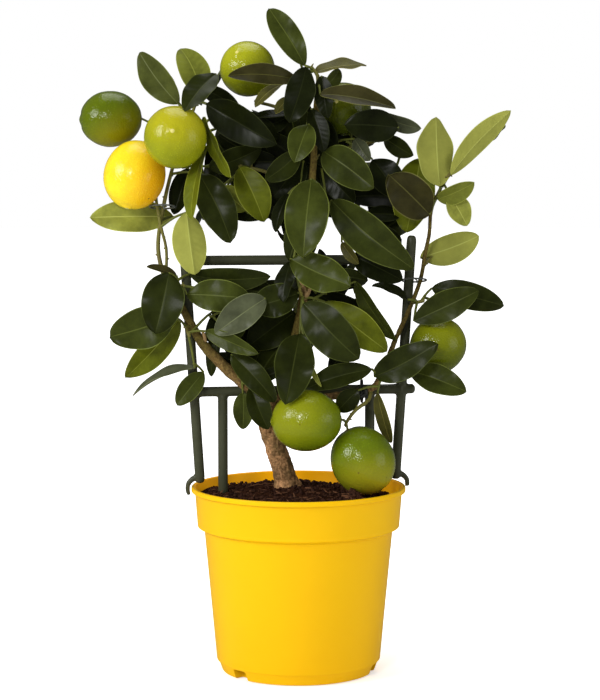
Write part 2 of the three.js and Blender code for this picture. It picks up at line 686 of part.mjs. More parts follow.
/** One mass of foliage, grown twig by twig from its stem and fused into one body. */
class Mass {
  constructor(plan, neighbours) {
    this.plan = plan;
    this.neighbours = neighbours;
    this.random = dice(plan.seed);
    this.parts = [];
    this.twigs = [];
    this.left = [];
    this.addStem(plan.stem, TWIG.stem);
    for (const twig of plan.twigs ?? []) this.addStem(twig, TWIG.spur);
  }

  /** A stem or a listed twig, cut clear of the limb that it grows from. */
  addStem(places, thick) {
    const points = places.map(place);
    const spans = points.length - 1;
    const radii = points.map((_, index) => THREE.MathUtils.lerp(thick, TWIG.spur, index / spans));
    const solid = limb(points, radii, STEM.sides, STEM.steps).subtract(KEEP_CLEAR[this.plan.on]);
    this.keep(wholeBody(solid));
    const bare = new THREE.CatmullRomCurve3(points, false, 'centripetal')
      .getPoints(spans * STEM.steps)
      .filter((point) => distanceFromLimb(this.plan.on, point) > TWIG.stem);
    for (let step = 0; step + 1 < bare.length; step += 1) {
      this.twigs.push({ from: bare[step], to: bare[step + 1] });
    }
  }

  /** Adds a solid to the mass and to what its neighbours keep clear of. */
  keep(solid) {
    this.parts.push(solid);
    this.neighbours.add(solid, this.plan.name);
  }

  /** Whether a solid meets any other piece, or any part of this mass too. */
  met(solid, ownToo) {
    return this.neighbours.met(solid, (owner) => ownToo || owner !== this.plan.name);
  }

  /** Adds the fruit on their stalks. */
  addFruit() {
    for (const [index, row] of (this.plan.fruits ?? []).entries()) {
      const stalk = new THREE.Vector3(row.stalk[0], -row.stalk[2], row.stalk[1]).normalize();
      const fruit = { centre: place(row.centre), long: row.long, girth: row.girth, stalk };
      const end = fruit.centre.clone().addScaledVector(stalk, row.long / 2 - TWIG.sunk);
      const twig = nearestTwig(this.twigs, end, this.random);
      const thick = [TWIG.spur, TWIG.tip];
      const spur = (swell) => limb([twig.at, end], thick, TWIG.sides, 1, swell);
      const meets = this.met(fruitSolid(fruit, GAP), false) ?? this.met(spur(GAP), false);
      if (meets) {
        this.left.push(`fruit ${index} meets ${meets}`);
      } else {
        this.keep(fruitSolid(fruit));
        this.keep(spur(0));
        this.twigs.push({ from: twig.at, to: end });
      }
    }
  }

  /** Adds a leaf on the nearest twig, unless it would touch something. */
  addLeaf(leaf, label, ownToo) {
    const { at } = nearestTwig(this.twigs, leaf.foot, this.random);
    if (ownToo && at.distanceTo(leaf.foot) > FILL.stalk) return false;
    const meets = this.met(leafSolid(leaf, at, GAP), false)
      ?? (ownToo ? this.met(leafSolid(leaf, leaf.foot, GAP), true) : null);
    if (meets) {
      if (label) this.left.push(`${label} meets ${meets}`);
      return false;
    }
    this.keep(leafSolid(leaf, at));
    this.twigs.push({ from: at, to: leaf.foot });
    return true;
  }

  /** Adds the listed leaves, those nearest the stem's foot first. */
  addListed() {
    const root = place(this.plan.stem[0]);
    const listed = this.plan.leaves.map((row, index) => ({ leaf: leadLeaf(row, this.random), index }));
    listed.sort((one, other) => one.leaf.foot.distanceTo(root) - other.leaf.foot.distanceTo(root));
    for (const { leaf, index } of listed) this.addLeaf(leaf, `leaf ${index}`, false);
  }

  /** Adds leaves behind the listed ones until the mass has its number of them. */
  addFill() {
    const { count } = this.plan.fill;
    const centre = place(this.plan.stem.at(-1));
    let grown = 0;
    for (let tries = 0; grown < count && tries < count * FILL.tries; tries += 1) {
      const leaf = fillLeaf(this.plan, centre, this.random);
      if (leaf && this.addLeaf(leaf, null, true)) grown += 1;
    }
    if (grown < count) this.left.push(`fill ${grown} of ${count}`);
  }

  /** The whole mass as one body. */
  fuse() {
    const fused = wasm.Manifold.union(this.parts);
    const loose = fused.decompose().length - 1;
    if (loose) this.left.push(`${loose} loose bodies`);
    return wholeBody(fused).simplify(FUSED_TOLERANCE);
  }
}

// The pot and its soil

/** Points of a lathe profile as two-dimensional vectors. */
function profile(points) {
  return points.map(([radius, high]) => new THREE.Vector2(radius, high));
}

/** A thin-walled pot with a stepped collar, a lip and notches round its foot. */
function potSolid() {
  const p = POT;
  const lathe = new THREE.LatheGeometry(profile([
    [0, 0], [p.centreDisc, 0], [p.centreDisc + p.edge, p.recess], [p.ringInside - p.edge, p.recess],
    [p.ringInside, 0], [p.foot - p.edge, 0], [p.foot, p.edge], [p.foot + p.edge, p.cornerTop - 5],
    [p.wallFoot, p.cornerTop], [p.shelf, p.shelfBase], [p.collarFoot, p.collarBase],
    [p.collarTop, p.rimTop - p.rimHeight], [p.rim, p.rimTop - p.rimHeight + p.edge / 2],
    [p.rim, p.rimTop - p.edge], [p.rim - p.edge, p.rimTop], [p.collarTop, p.rimTop],
    [p.collarTop - p.edge / 2, p.rimTop - p.edge], [p.collarFoot - p.wall, p.collarBase + p.wall / 2],
    [p.shelf - p.wall, p.shelfBase + p.wall], [p.wallFoot - p.wall, p.cornerTop + p.wall],
    [p.foot - p.edge, p.floor + p.insideCorner], [0, p.floor],
  ]), p.facets);
  lathe.rotateX(Math.PI / 2);
  let pot = solidOf(lathe);
  for (const bearing of NOTCH.bearings) {
    const cut = new THREE.BoxGeometry(NOTCH.deep, NOTCH.wide, 2 * NOTCH.high);
    cut.translate(p.foot, 0, 0);
    cut.rotateZ(THREE.MathUtils.degToRad(bearing));
    pot = pot.subtract(solidOf(cut));
  }
  return wholeBody(pot);
}

/** The soil that fills the pot, mounded to a flat patch under the trunk. */
function soilSolid() {
  const p = POT;
  const inside = p.wall + GAP;
  const lathe = new THREE.LatheGeometry(profile([
    [0, p.floor + GAP], [p.foot - inside, p.floor + p.insideCorner + GAP],
    [p.wallFoot - inside, p.cornerTop + inside], [p.shelf - inside, p.shelfBase + inside],
    [p.collarFoot - inside, p.collarBase + inside], [p.collarFoot - inside + p.edge, SOIL.edge],
    ...SOIL.belowMiddle.map(([radius, drop]) => [radius, SOIL.middle - drop]),
    [SOIL.flat, SOIL.middle], [0, SOIL.middle],
  ]), p.facets);
  lathe.rotateX(Math.PI / 2);
  let soil = solidOf(lathe);
  for (const side of [FRAME.leftLeg, FRAME.rightLeg]) {
    const socket = rod(framePoint(side, FRAME.legFoot - GAP), framePoint(side, POT.rimTop), FRAME.bar + GAP);
    soil = soil.subtract(socket);
  }
  return wholeBody(soil);
}

// The ladder and the ties

/** A point in the upright plane of the ladder, by its distance along it and its height. */
function framePoint(side, high) {
  const turn = THREE.MathUtils.degToRad(FRAME.turn);
  return new THREE.Vector3(side * Math.cos(turn), FRAME.centreAway + side * Math.sin(turn), high);
}

/** How far out from the middle of the ladder a post stands at a height. */
function postReach(high) {
  const share = (high - FRAME.foot) / (FRAME.top - FRAME.foot);
  return THREE.MathUtils.lerp(FRAME.postFoot, FRAME.postTop, share);
}

/** A post with its two bar stubs, and the hook at its foot that hangs over the rim. */
function postSolid(hand) {
  const at = (high) => framePoint(hand * postReach(high), high);
  const foot = at(FRAME.foot);
  const out = new THREE.Vector3(foot.x, foot.y, 0).normalize();
  const hookPath = HOOK.map(([reach, high]) => foot.clone().addScaledVector(out, reach).setZ(high));
  const hookRadii = HOOK.map(([, , radius]) => radius);
  return wholeBody(wasm.Manifold.union([
    rod(foot, at(FRAME.top), FRAME.bar),
    limb(hookPath, hookRadii, FRAME.hookSides, LIMB.steps),
    rod(at(FRAME.lowBar), framePoint(hand * FRAME.stub, FRAME.lowBar), FRAME.bar),
  ]));
}

/** A cross bar between the posts, with a running clearance to each of them. */
function barSolid(high) {
  const reach = postReach(high);
  const bar = rod(framePoint(-reach, high), framePoint(reach, high), FRAME.bar);
  const below = high - FRAME.cutterReach;
  const above = high + FRAME.cutterReach;
  const clear = [-1, 1].map((hand) => rod(
    framePoint(hand * postReach(below), below),
    framePoint(hand * postReach(above), above),
    FRAME.bar + GAP,
    FRAME.sides * 2,
  ));
  return wholeBody(clear.reduce((left, cut) => left.subtract(cut), bar));
}

/** A leg from the lower bar down into its socket in the soil. */
function legSolid(side) {
  const leg = rod(framePoint(side, FRAME.legFoot), framePoint(side, FRAME.lowBar), FRAME.bar);
  const under = rod(
    framePoint(side - FRAME.cutterReach, FRAME.lowBar),
    framePoint(side + FRAME.cutterReach, FRAME.lowBar),
    FRAME.bar + GAP,
    FRAME.sides * 2,
  );
  return wholeBody(leg.subtract(under));
}

/** A closed ring of wire, tilted towards the viewer. */
function ringSolid({ centre, reach, deep, wire, tilt, upright }) {
  const torus = new THREE.TorusGeometry(RING.middle, 1, RING.sides, RING.steps);
  const position = torus.attributes.position;
  for (let index = 0; index < position.count; index += 1) {
    const bearing = Math.atan2(position.getY(index), position.getX(index));
    const spread = Math.hypot(position.getX(index), position.getY(index)) - RING.middle;
    position.setXYZ(
      index,
      Math.cos(bearing) * (reach + spread * wire),
      Math.sin(bearing) * (deep + spread * wire),
      position.getZ(index) * wire,
    );
  }
  if (upright) torus.rotateY(Math.PI / 2);
  torus.rotateX(THREE.MathUtils.degToRad(tilt));
  const middle = place(centre);
  torus.translate(middle.x, middle.y, middle.z);
  return solidOf(torus);
}

const TIES = [
  {
    name: 'ring_left', colour: 'wire', centre: [-107, 368, 4.5], reach: 9.9, deep: 8, wire: 0.7, tilt: -12,
  },
  {
    name: 'ring_right', colour: 'wire', centre: [91, 310.3, -15.2], reach: 9.8, deep: 9.2, wire: 0.7,
    tilt: -12,
  },
  {
    name: 'soft_tie', colour: 'tie', centre: [50, 222.6, -5], reach: 8.4, deep: 13.2, wire: 1.1, tilt: 0,
    upright: true,
  },
];

// The whole part

const tree = new THREE.Group();

/** Adds a solid to the tree as a named mesh with its finish. */
function addPiece(name, solid, finish) {
  const mesh = solid.getMesh();
  const geometry = new THREE.BufferGeometry();
  const positions = new Float32Array(mesh.vertProperties);
  geometry.setAttribute('position', new THREE.BufferAttribute(positions, 3));
  geometry.setIndex(new THREE.BufferAttribute(new Uint32Array(mesh.triVerts), 1));
  const [color, roughness] = COLOURS[finish];
  const material = new THREE.MeshStandardMaterial({ color, roughness, metalness: 0 });
  const piece = new THREE.Mesh(geometry, material);
  piece.name = name;
  tree.add(piece);
}

const neighbours = new Neighbours();
addPiece('pot', potSolid(), 'pot');
addPiece('soil', soilSolid(), 'soil');
addPiece('trunk', LIMBS.trunk, 'bark');
addPiece('bough_left', LIMBS.left, 'bark');
addPiece('bough_right', LIMBS.right, 'bark');
addPiece('bough_right_upper', LIMBS.rightUpper, 'bark');
for (const [name, solid] of Object.entries(LIMBS)) neighbours.add(solid, name);

const ladder = {
  post_left: postSolid(-1),
  post_right: postSolid(1),
  bar_low: barSolid(FRAME.lowBar),
  bar_middle: barSolid(FRAME.midBar),
  leg_left: legSolid(FRAME.leftLeg),
  leg_right: legSolid(FRAME.rightLeg),
};
for (const [name, solid] of Object.entries(ladder)) {
  addPiece(name, solid, 'frame');
  neighbours.add(solid, name);
}
for (const tie of TIES) {
  const solid = ringSolid(tie);
  addPiece(tie.name, solid, tie.colour);
  neighbours.add(solid, tie.name);
}
neighbours.add(soilSolid(), 'soil');
neighbours.add(potSolid(), 'pot');

const masses = MASSES.map((plan) => new Mass(plan, neighbours));
for (const mass of masses) mass.addFruit();
for (const mass of masses) mass.addListed();
for (const mass of masses) mass.addFill();
for (const mass of masses) {
  addPiece(`foliage_${mass.plan.name}`, mass.fuse(), 'foliage');
}
for (const mass of masses) {
  for (const note of mass.left) console.warn(`${mass.plan.name}: ${note}`);
}

export default tree;
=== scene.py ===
"""Looks of a potted limequat tree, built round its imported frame.

The frame says where everything is. This script grows the limbs, twigs, leaves and fruit again in
fine detail, by the rule that the solids follow, and dresses the pot, soil, trellis and ties.
Shapes are worked out in millimetres and become metres when they are made into pieces.

A place in the tree is written as the viewer in front of it sees it: (across, up, near), where
across and up are measured in the plane through the pot's axis, and near is how far the place is
brought from that plane towards the viewer, along the line of sight.
"""

import logging
import math
from dataclasses import dataclass, replace
from enum import Enum
from typing import Any, Callable, NamedTuple

import bmesh
import bpy
import numpy as np
from bmesh.types import BMesh, BMVert
from bpy.types import ID, Material, Mesh, Node, NodeSocket, NodeTree, Object
from mathutils import Matrix, Quaternion, Vector, noise
from mathutils.bvhtree import BVHTree

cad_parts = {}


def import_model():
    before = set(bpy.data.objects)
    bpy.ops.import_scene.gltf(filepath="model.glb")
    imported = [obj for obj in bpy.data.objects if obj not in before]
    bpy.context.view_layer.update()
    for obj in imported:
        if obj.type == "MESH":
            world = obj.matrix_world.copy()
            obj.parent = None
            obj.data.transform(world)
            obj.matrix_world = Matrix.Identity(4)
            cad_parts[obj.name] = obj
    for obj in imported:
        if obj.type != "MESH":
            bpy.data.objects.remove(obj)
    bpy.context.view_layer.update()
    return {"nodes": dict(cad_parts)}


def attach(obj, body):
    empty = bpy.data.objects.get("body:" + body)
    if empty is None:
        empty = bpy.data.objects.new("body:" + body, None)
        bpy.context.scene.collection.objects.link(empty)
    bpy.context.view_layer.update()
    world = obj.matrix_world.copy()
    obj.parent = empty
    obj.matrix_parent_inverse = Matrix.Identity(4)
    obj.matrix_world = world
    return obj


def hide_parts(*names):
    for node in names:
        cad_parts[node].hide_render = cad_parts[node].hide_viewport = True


LOG = logging.getLogger("limequat")

Pair = tuple[float, float]
Triple = tuple[float, float, float]
Colour = Triple
Place = Triple
Face = tuple[int, ...]
Feeds = dict[str | int, Any]

MM = 0.001
VIEWER = Vector((0.0, -1645.0, 397.0))
WORD = 0xFFFFFFFF
WHITE = (1, 1, 1, 1)


# Rules shared with the solids

class Dice:
    """Repeatable random numbers between 0 and 1 from a whole-number seed."""

    def __init__(self, seed: int) -> None:
        """Starts the row of numbers.

        Args:
            seed: The whole number that the row follows from.
        """
        self.state = seed & WORD

    def __call__(self) -> float:
        """Draws the next number.

        Returns:
            The number, between 0 and 1.
        """
        self.state = (self.state + 0x6D2B79F5) & WORD
        mixed = ((self.state ^ (self.state >> 15)) * (1 | self.state)) & WORD
        mixed = ((mixed + ((mixed ^ (mixed >> 7)) * (61 | mixed))) & WORD) ^ mixed
        return ((mixed ^ (mixed >> 14)) & WORD) / 4294967296

    def between(self, low: float, high: float) -> float:
        """Returns the next number, stretched to lie between two limits."""
        return low + (high - low) * self()


def blend(low: float, high: float, share: float) -> float:
    """Returns the number that lies a share of the way from low to high."""
    return low + (high - low) * share


def place(seen: Place) -> Vector:
    """Works out where a place in the tree is.

    Args:
        seen: The place as the viewer sees it.

    Returns:
        The point, in millimetres.
    """
    across, up, near = seen
    share = (-VIEWER.y - near) / -VIEWER.y
    return VIEWER + (Vector((across, 0.0, up)) - VIEWER) * share


def seen_at(point: Vector) -> Pair:
    """Works out where a point is seen in the plane of the pot's axis.

    Args:
        point: The point, in millimetres.

    Returns:
        How far across and how far up.
    """
    share = -VIEWER.y / (point.y - VIEWER.y)
    seen = VIEWER + (point - VIEWER) * share
    return seen.x, seen.z


class Route:
    """A smooth line through a list of points, even in its spans."""

    def __init__(self, points: list[Vector]) -> None:
        """Keeps the points, with one more beyond each end.

        Args:
            points: The points that the line passes through, in millimetres.
        """
        self.points = [Vector(point) for point in points]
        self.spans = len(self.points) - 1
        before = self.points[0] * 2 - self.points[1]
        after = self.points[-1] * 2 - self.points[-2]
        self.padded = [before, *self.points, after]

    def at(self, along: float) -> Vector:
        """Finds a point on the line.

        Args:
            along: The share of the line that lies before the point, from 0 to 1.

        Returns:
            The point, in millimetres.
        """
        span = min(int(along * self.spans), self.spans - 1)
        part = along * self.spans - span
        if self.spans == 1:
            return self.points[0].lerp(self.points[1], part)
        p0, p1, p2, p3 = self.padded[span:span + 4]
        steps = [max((b - a).length ** 0.5, 1e-4) for a, b in ((p0, p1), (p1, p2), (p2, p3))]
        s0, s1, s2 = steps
        leave = ((p1 - p0) / s0 - (p2 - p0) / (s0 + s1) + (p2 - p1) / s1) * s1
        arrive = ((p2 - p1) / s1 - (p3 - p1) / (s1 + s2) + (p3 - p2) / s2) * s1
        square = part * part
        cube = square * part
        return (
            p1 * (2 * cube - 3 * square + 1) + leave * (cube - 2 * square + part)
            + p2 * (3 * square - 2 * cube) + arrive * (cube - square)
        )

    def frames(self, rows: int) -> list[tuple[Vector, Vector, Vector]]:
        """Works out rows across the line, evenly spaced.

        Args:
            rows: How many spaces lie between the first row and the last.

        Returns:
            For each row its centre and two directions across the line.
        """
        centres = [self.at(row / rows) for row in range(rows + 1)]
        normal = Vector((0.3, 1.0, 0.2))
        found = []
        for row, centre in enumerate(centres):
            ahead = centres[min(row + 1, rows)] - centres[max(row - 1, 0)]
            ahead.normalize()
            normal = (normal - ahead * normal.dot(ahead)).normalized()
            found.append((centre, normal.copy(), ahead.cross(normal)))
        return found

    def radius(self, radii: tuple[float, ...], along: float) -> float:
        """Returns the radius a share of the way along, from a radius at each point."""
        span = min(int(along * self.spans), self.spans - 1)
        return blend(radii[span], radii[span + 1], along * self.spans - span)


# Meshes and pieces

def add_tube(
    bm: BMesh,
    route: Route,
    radii: tuple[float, ...],
    around: int = 8,
    rows_per_span: int = 4,
    relief: Callable[[float, float], float] | None = None,
    material: int = 0,
) -> None:
    """Adds a closed round limb along a route.

    Args:
        bm: The mesh that takes the limb.
        route: The line through the limb's middle.
        radii: The radius at each point of the route.
        around: How many faces go round the limb.
        rows_per_span: How many rows of faces lie between two points of the route.
        relief: Gives what is added to the radius, from the share along and the angle round.
        material: The index of the limb's material.
    """
    rows = route.spans * rows_per_span
    frames = route.frames(rows)
    made = bmesh.ops.create_grid(bm, x_segments=around, y_segments=rows, size=1.0)["verts"]
    for vert in made:
        angle = math.pi * (vert.co.x + 1)
        row = round((vert.co.y + 1) / 2 * rows)
        centre, normal, side = frames[row]
        radius = route.radius(radii, row / rows)
        if relief:
            radius += relief(row / rows, angle)
        vert.co = centre + normal * (radius * math.cos(angle)) + side * (radius * math.sin(angle))
    faces = list(dict.fromkeys(face for vert in made for face in vert.link_faces))
    for face in faces:
        face.material_index = material
    bmesh.ops.remove_doubles(bm, verts=made, dist=1e-4)
    rim = [edge for face in faces if face.is_valid for edge in face.edges if edge.is_boundary]
    filled = bmesh.ops.edgeloop_fill(bm, edges=list(dict.fromkeys(rim)))
    for face in filled["faces"]:
        face.material_index = material


def as_mesh(bm: BMesh, name: str) -> Mesh:
    """Makes a mesh of what was modelled, and frees the model.

    Args:
        bm: The model.
        name: The name of the mesh.

    Returns:
        The mesh.
    """
    mesh = bpy.data.meshes.new(name)
    bm.to_mesh(mesh)
    bm.free()
    return mesh


def add_object(name: str, data: ID) -> Object:
    """Adds an object to the scene.

    Args:
        name: Its name.
        data: Its mesh, camera or light.

    Returns:
        The object.
    """
    made = bpy.data.objects.new(name, data)
    bpy.context.scene.collection.objects.link(made)
    return made


def new_piece(
    bm: BMesh,
    name: str,
    materials: list[Material],
    nodes: tuple[str, ...] = (),
    sharp: float = 50.0,
) -> Object:
    """Makes a mesh in millimetres into a piece in metres that rides on the frame.

    Args:
        bm: The mesh, which is freed.
        name: The piece's name.
        materials: Its materials, in the order of the faces' indices.
        nodes: The frame's nodes that it stands for.
        sharp: The angle in degrees past which an edge stays sharp.

    Returns:
        The new object.
    """
    bmesh.ops.scale(bm, vec=(MM, MM, MM), verts=bm.verts[:])
    mesh = as_mesh(bm, name)
    mesh.polygons.foreach_set("use_smooth", [True] * len(mesh.polygons))
    mesh.set_sharp_from_angle(angle=math.radians(sharp))
    for material in materials:
        mesh.materials.append(material)
    piece = add_object(name, mesh)
    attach(piece, "root")
    if nodes:
        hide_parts(*nodes)
    LOG.info("%s: %d faces", name, len(mesh.polygons))
    return piece


def applied(piece: Object) -> None:
    """Puts the result of a piece's modifiers into its mesh, and removes them.

    Args:
        piece: The object with live modifiers.
    """
    bpy.context.view_layer.update()
    made = bpy.data.meshes.new_from_object(
        piece.evaluated_get(bpy.context.evaluated_depsgraph_get()))
    piece.modifiers.clear()
    old = piece.data
    piece.data = made
    bpy.data.meshes.remove(old)
    made.name = piece.name


def moulded(piece: Object, voxel: float, rounds: int) -> None:
    """Fuses a piece's overlapping parts into one skin with rounded inside corners.

    Args:
        piece: The object, whose parts overlap.
        voxel: The size of the new faces, in millimetres.
        rounds: How many times the skin is smoothed.
    """
    remesh = piece.modifiers.new("fuse", "REMESH")
    remesh.mode = "VOXEL"
    remesh.voxel_size = voxel * MM
    remesh.use_smooth_shade = True
    smooth = piece.modifiers.new("fillet", "SMOOTH")
    smooth.factor = 0.5
    smooth.iterations = rounds
    applied(piece)


def carved(piece: Object, depth: Callable[[Vector], float]) -> None:
    """Moves a piece's skin in and out along its own direction.

    Args:
        piece: The object whose vertices move.
        depth: Gives the move outwards from a vertex's place, both in millimetres.
    """
    mesh = piece.data
    moved = []
    for vertex in mesh.vertices:
        moved.append(vertex.co + vertex.normal * (depth(vertex.co / MM) * MM))
    mesh.vertices.foreach_set("co", [axis for point in moved for axis in point])
    mesh.update()


# Shader nodes and finishes

def feed(node: Node, feeds: Feeds) -> None:
    """Sets or links inputs of a node.

    Args:
        node: The node.
        feeds: What each input gets, by its name or number: a value, or the output that it follows.
    """
    for title, value in feeds.items():
        if isinstance(value, NodeSocket):
            node.id_data.links.new(value, node.inputs[title])
        else:
            node.inputs[title].default_value = value


def add_node(tree: NodeTree, kind: str, feeds: Feeds | None = None, **settings: Any) -> Node:
    """Adds a node to a tree.

    Args:
        tree: The tree or group that takes it.
        kind: The node's type.
        feeds: What its inputs get.
        settings: Its other settings, such as its operation.

    Returns:
        The new node.
    """
    node = tree.nodes.new(kind)
    for title, value in settings.items():
        setattr(node, title, value)
    feed(node, feeds or {})
    return node


def object_place(tree: NodeTree) -> NodeSocket:
    """Returns the place on the object that a pattern is laid out by."""
    return add_node(tree, "ShaderNodeTexCoord").outputs["Object"]


def ramp(
    tree: NodeTree, value: Any, source: Pair = (0.0, 1.0), target: tuple[Any, Any] = (0.0, 1.0),
    smooth: bool = False,
) -> NodeSocket:
    """Adds a node that carries one range of numbers over to another.

    Args:
        tree: The tree or group that takes it.
        value: The output that it follows.
        source: The range that it reads.
        target: The range that it gives, each end a number or an output.
        smooth: Whether it eases in and out.

    Returns:
        The output of the node.
    """
    feeds = dict(zip(("Value", "From Min", "From Max", "To Min", "To Max"), (value, *source, *target)))
    easing = "SMOOTHSTEP" if smooth else "LINEAR"
    return add_node(tree, "ShaderNodeMapRange", feeds, interpolation_type=easing).outputs["Result"]


def layered(tree: NodeTree, share: Any, under: Any, over: Any) -> NodeSocket:
    """Adds a node that lays one colour over another.

    Args:
        tree: The tree or group that takes it.
        share: How much of the upper colour shows.
        under: The lower colour.
        over: The upper colour.

    Returns:
        The mixed colour.
    """
    feeds = {"Factor": share, "A": under, "B": over}
    return add_node(tree, "ShaderNodeMix", feeds, data_type="RGBA").outputs["Result"]


class Group:
    """A shader group that is built once, and placed in each material with its own values."""

    name = ""
    takes: dict[str, Any] = {}
    gives: dict[str, str] = {}

    def build(self) -> NodeTree:
        """Builds the group where it isn't built yet.

        Returns:
            The group.
        """
        if self.name in bpy.data.node_groups:
            return bpy.data.node_groups[self.name]
        group = bpy.data.node_groups.new(self.name, "ShaderNodeTree")
        for title, value in self.takes.items():
            kind = "NodeSocketFloat" if isinstance(value, float) else "NodeSocketColor"
            socket = group.interface.new_socket(title, in_out="INPUT", socket_type=kind)
            socket.default_value = value
        for title, kind in self.gives.items():
            group.interface.new_socket(title, in_out="OUTPUT", socket_type=kind)
        given = self.fill(group, add_node(group, "NodeGroupInput").outputs)
        add_node(group, "NodeGroupOutput", given)
        return group

    def fill(self, group: NodeTree, taken: Any) -> dict[str, NodeSocket]:
        """Returns what the group gives; each kind of group has its own nodes."""
        raise NotImplementedError

    def placed(self, tree: NodeTree, feeds: Feeds) -> Any:
        """Places the group in a material.

        Args:
            tree: The material's nodes.
            feeds: What the group's inputs get.

        Returns:
            The outputs of the placed group.
        """
        return add_node(tree, "ShaderNodeGroup", feeds, node_tree=self.build()).outputs


class MottleGroup(Group):
    """A group that clouds one colour with another, and gives the cloud as a mask."""

    name = "Mottle"
    takes = {"Base": (0.5, 0.5, 0.5, 1), "Tint": (0.3, 0.3, 0.3, 1), "Scale": 40.0, "Amount": 0.5}
    gives = {"Color": "NodeSocketColor", "Mask": "NodeSocketFloat"}
    detail = 5
    fineness = 0.62
    cloudy = (0.36, 0.66)

    def fill(self, group: NodeTree, taken: Any) -> dict[str, NodeSocket]:
        """Adds the nodes of the group.

        Args:
            group: The group.
            taken: What it takes.

        Returns:
            What it gives.
        """
        cloud = add_node(group, "ShaderNodeTexNoise", {
            "Vector": object_place(group), "Scale": taken["Scale"], "Detail": self.detail,
            "Roughness": self.fineness,
        })
        spread = ramp(group, cloud.outputs["Fac"], self.cloudy)
        share = add_node(group, "ShaderNodeMath", {0: spread, 1: taken["Amount"]}, operation="MULTIPLY")
        mask = share.outputs[0]
        return {"Color": layered(group, mask, taken["Base"], taken["Tint"]), "Mask": mask}


class PoreGroup(Group):
    """A group that gives the height of fine pits, as on peel and moulded plastic."""

    name = "Pores"
    takes = {"Scale": 600.0}
    gives = {"Height": "NodeSocketFloat"}
    softness = 0.4
    pit_reach = 0.7

    def fill(self, group: NodeTree, taken: Any) -> dict[str, NodeSocket]:
        """Adds the nodes of the group.

        Args:
            group: The group.
            taken: What it takes.

        Returns:
            What it gives.
        """
        cells = add_node(group, "ShaderNodeTexVoronoi", feature="SMOOTH_F1")
        feed(cells, {
            "Vector": object_place(group), "Scale": taken["Scale"], "Smoothness": self.softness})
        return {"Height": ramp(group, cells.outputs["Distance"], (0.0, self.pit_reach), smooth=True)}


@dataclass(frozen=True)
class Finish:
    """A surface of one clouded colour, with fine pits where it has them.

    Attributes:
        name: The material's name.
        colour: The main colour, in linear light.
        tint: The colour that clouds it.
        amount: How strongly it is clouded, from 0 to 1.
        cloud: The scale of the clouding, per metre.
        roughness: The roughness of the surface.
        specular: How strongly the surface mirrors, 0.5 as for glass.
        pores: The scale of the pits, per metre, or 0 for none.
        pit: The depth of the pits, in millimetres.
        glow: The weight of the light that passes just under the surface.
        through: The strength of a painted glow in the main colour, which stands in for light that comes
            through from the far side.
    """

    name: str
    colour: Colour
    tint: Colour
    amount: float = 0.6
    cloud: float = 60.0
    roughness: float = 0.45
    specular: float = 0.5
    pores: float = 0.0
    pit: float = 0.05
    glow: float = 0.0
    through: float = 0.0

    PIT_STRENGTH = 0.6
    GLOW_RADIUS = (1.0, 0.7, 0.1)
    GLOW_SCALE = 0.004

    def material(self) -> Material:
        """Makes the material where it isn't made yet.

        Returns:
            The material.
        """
        if self.name in bpy.data.materials:
            return bpy.data.materials[self.name]
        material = bpy.data.materials.new(self.name)
        material.use_nodes = True
        tree = material.node_tree
        shader = tree.nodes["Principled BSDF"]
        feed(shader, {"Roughness": self.roughness, "Specular IOR Level": self.specular})
        # Painted glow: emission in the finish's own colour, standing in for light shining through from the
        # far side.
        if self.through:
            feed(shader, {"Emission Color": (*self.colour, 1), "Emission Strength": self.through})
        if self.glow:
            feed(shader, {
                "Subsurface Weight": self.glow, "Subsurface Radius": self.GLOW_RADIUS,
                "Subsurface Scale": self.GLOW_SCALE,
            })
        mottle = MottleGroup().placed(tree, {
            "Base": (*self.colour, 1), "Tint": (*self.tint, 1), "Scale": self.cloud, "Amount": self.amount,
        })
        feed(shader, {"Base Color": mottle["Color"]})
        if self.pores:
            pits = PoreGroup().placed(tree, {"Scale": self.pores})["Height"]
            self.bump(shader, pits, self.pit, self.PIT_STRENGTH)
        self.refine(tree, shader, mottle["Color"])
        return material

    def bump(self, shader: Node, height: NodeSocket, depth: float, strength: float) -> None:
        """Lets a height stand out from the surface.

        Args:
            shader: The material's shader.
            height: The height, from 0 to 1.
            depth: How far it stands out, in millimetres.
            strength: How strongly it shows.
        """
        feeds = {"Height": height, "Distance": depth * MM, "Strength": strength}
        relief = add_node(shader.id_data, "ShaderNodeBump", feeds)
        feed(shader, {"Normal": relief.outputs["Normal"]})

    def refine(self, tree: NodeTree, shader: Node, colour: NodeSocket) -> None:
        """Adds what a special finish has beyond the plain one."""


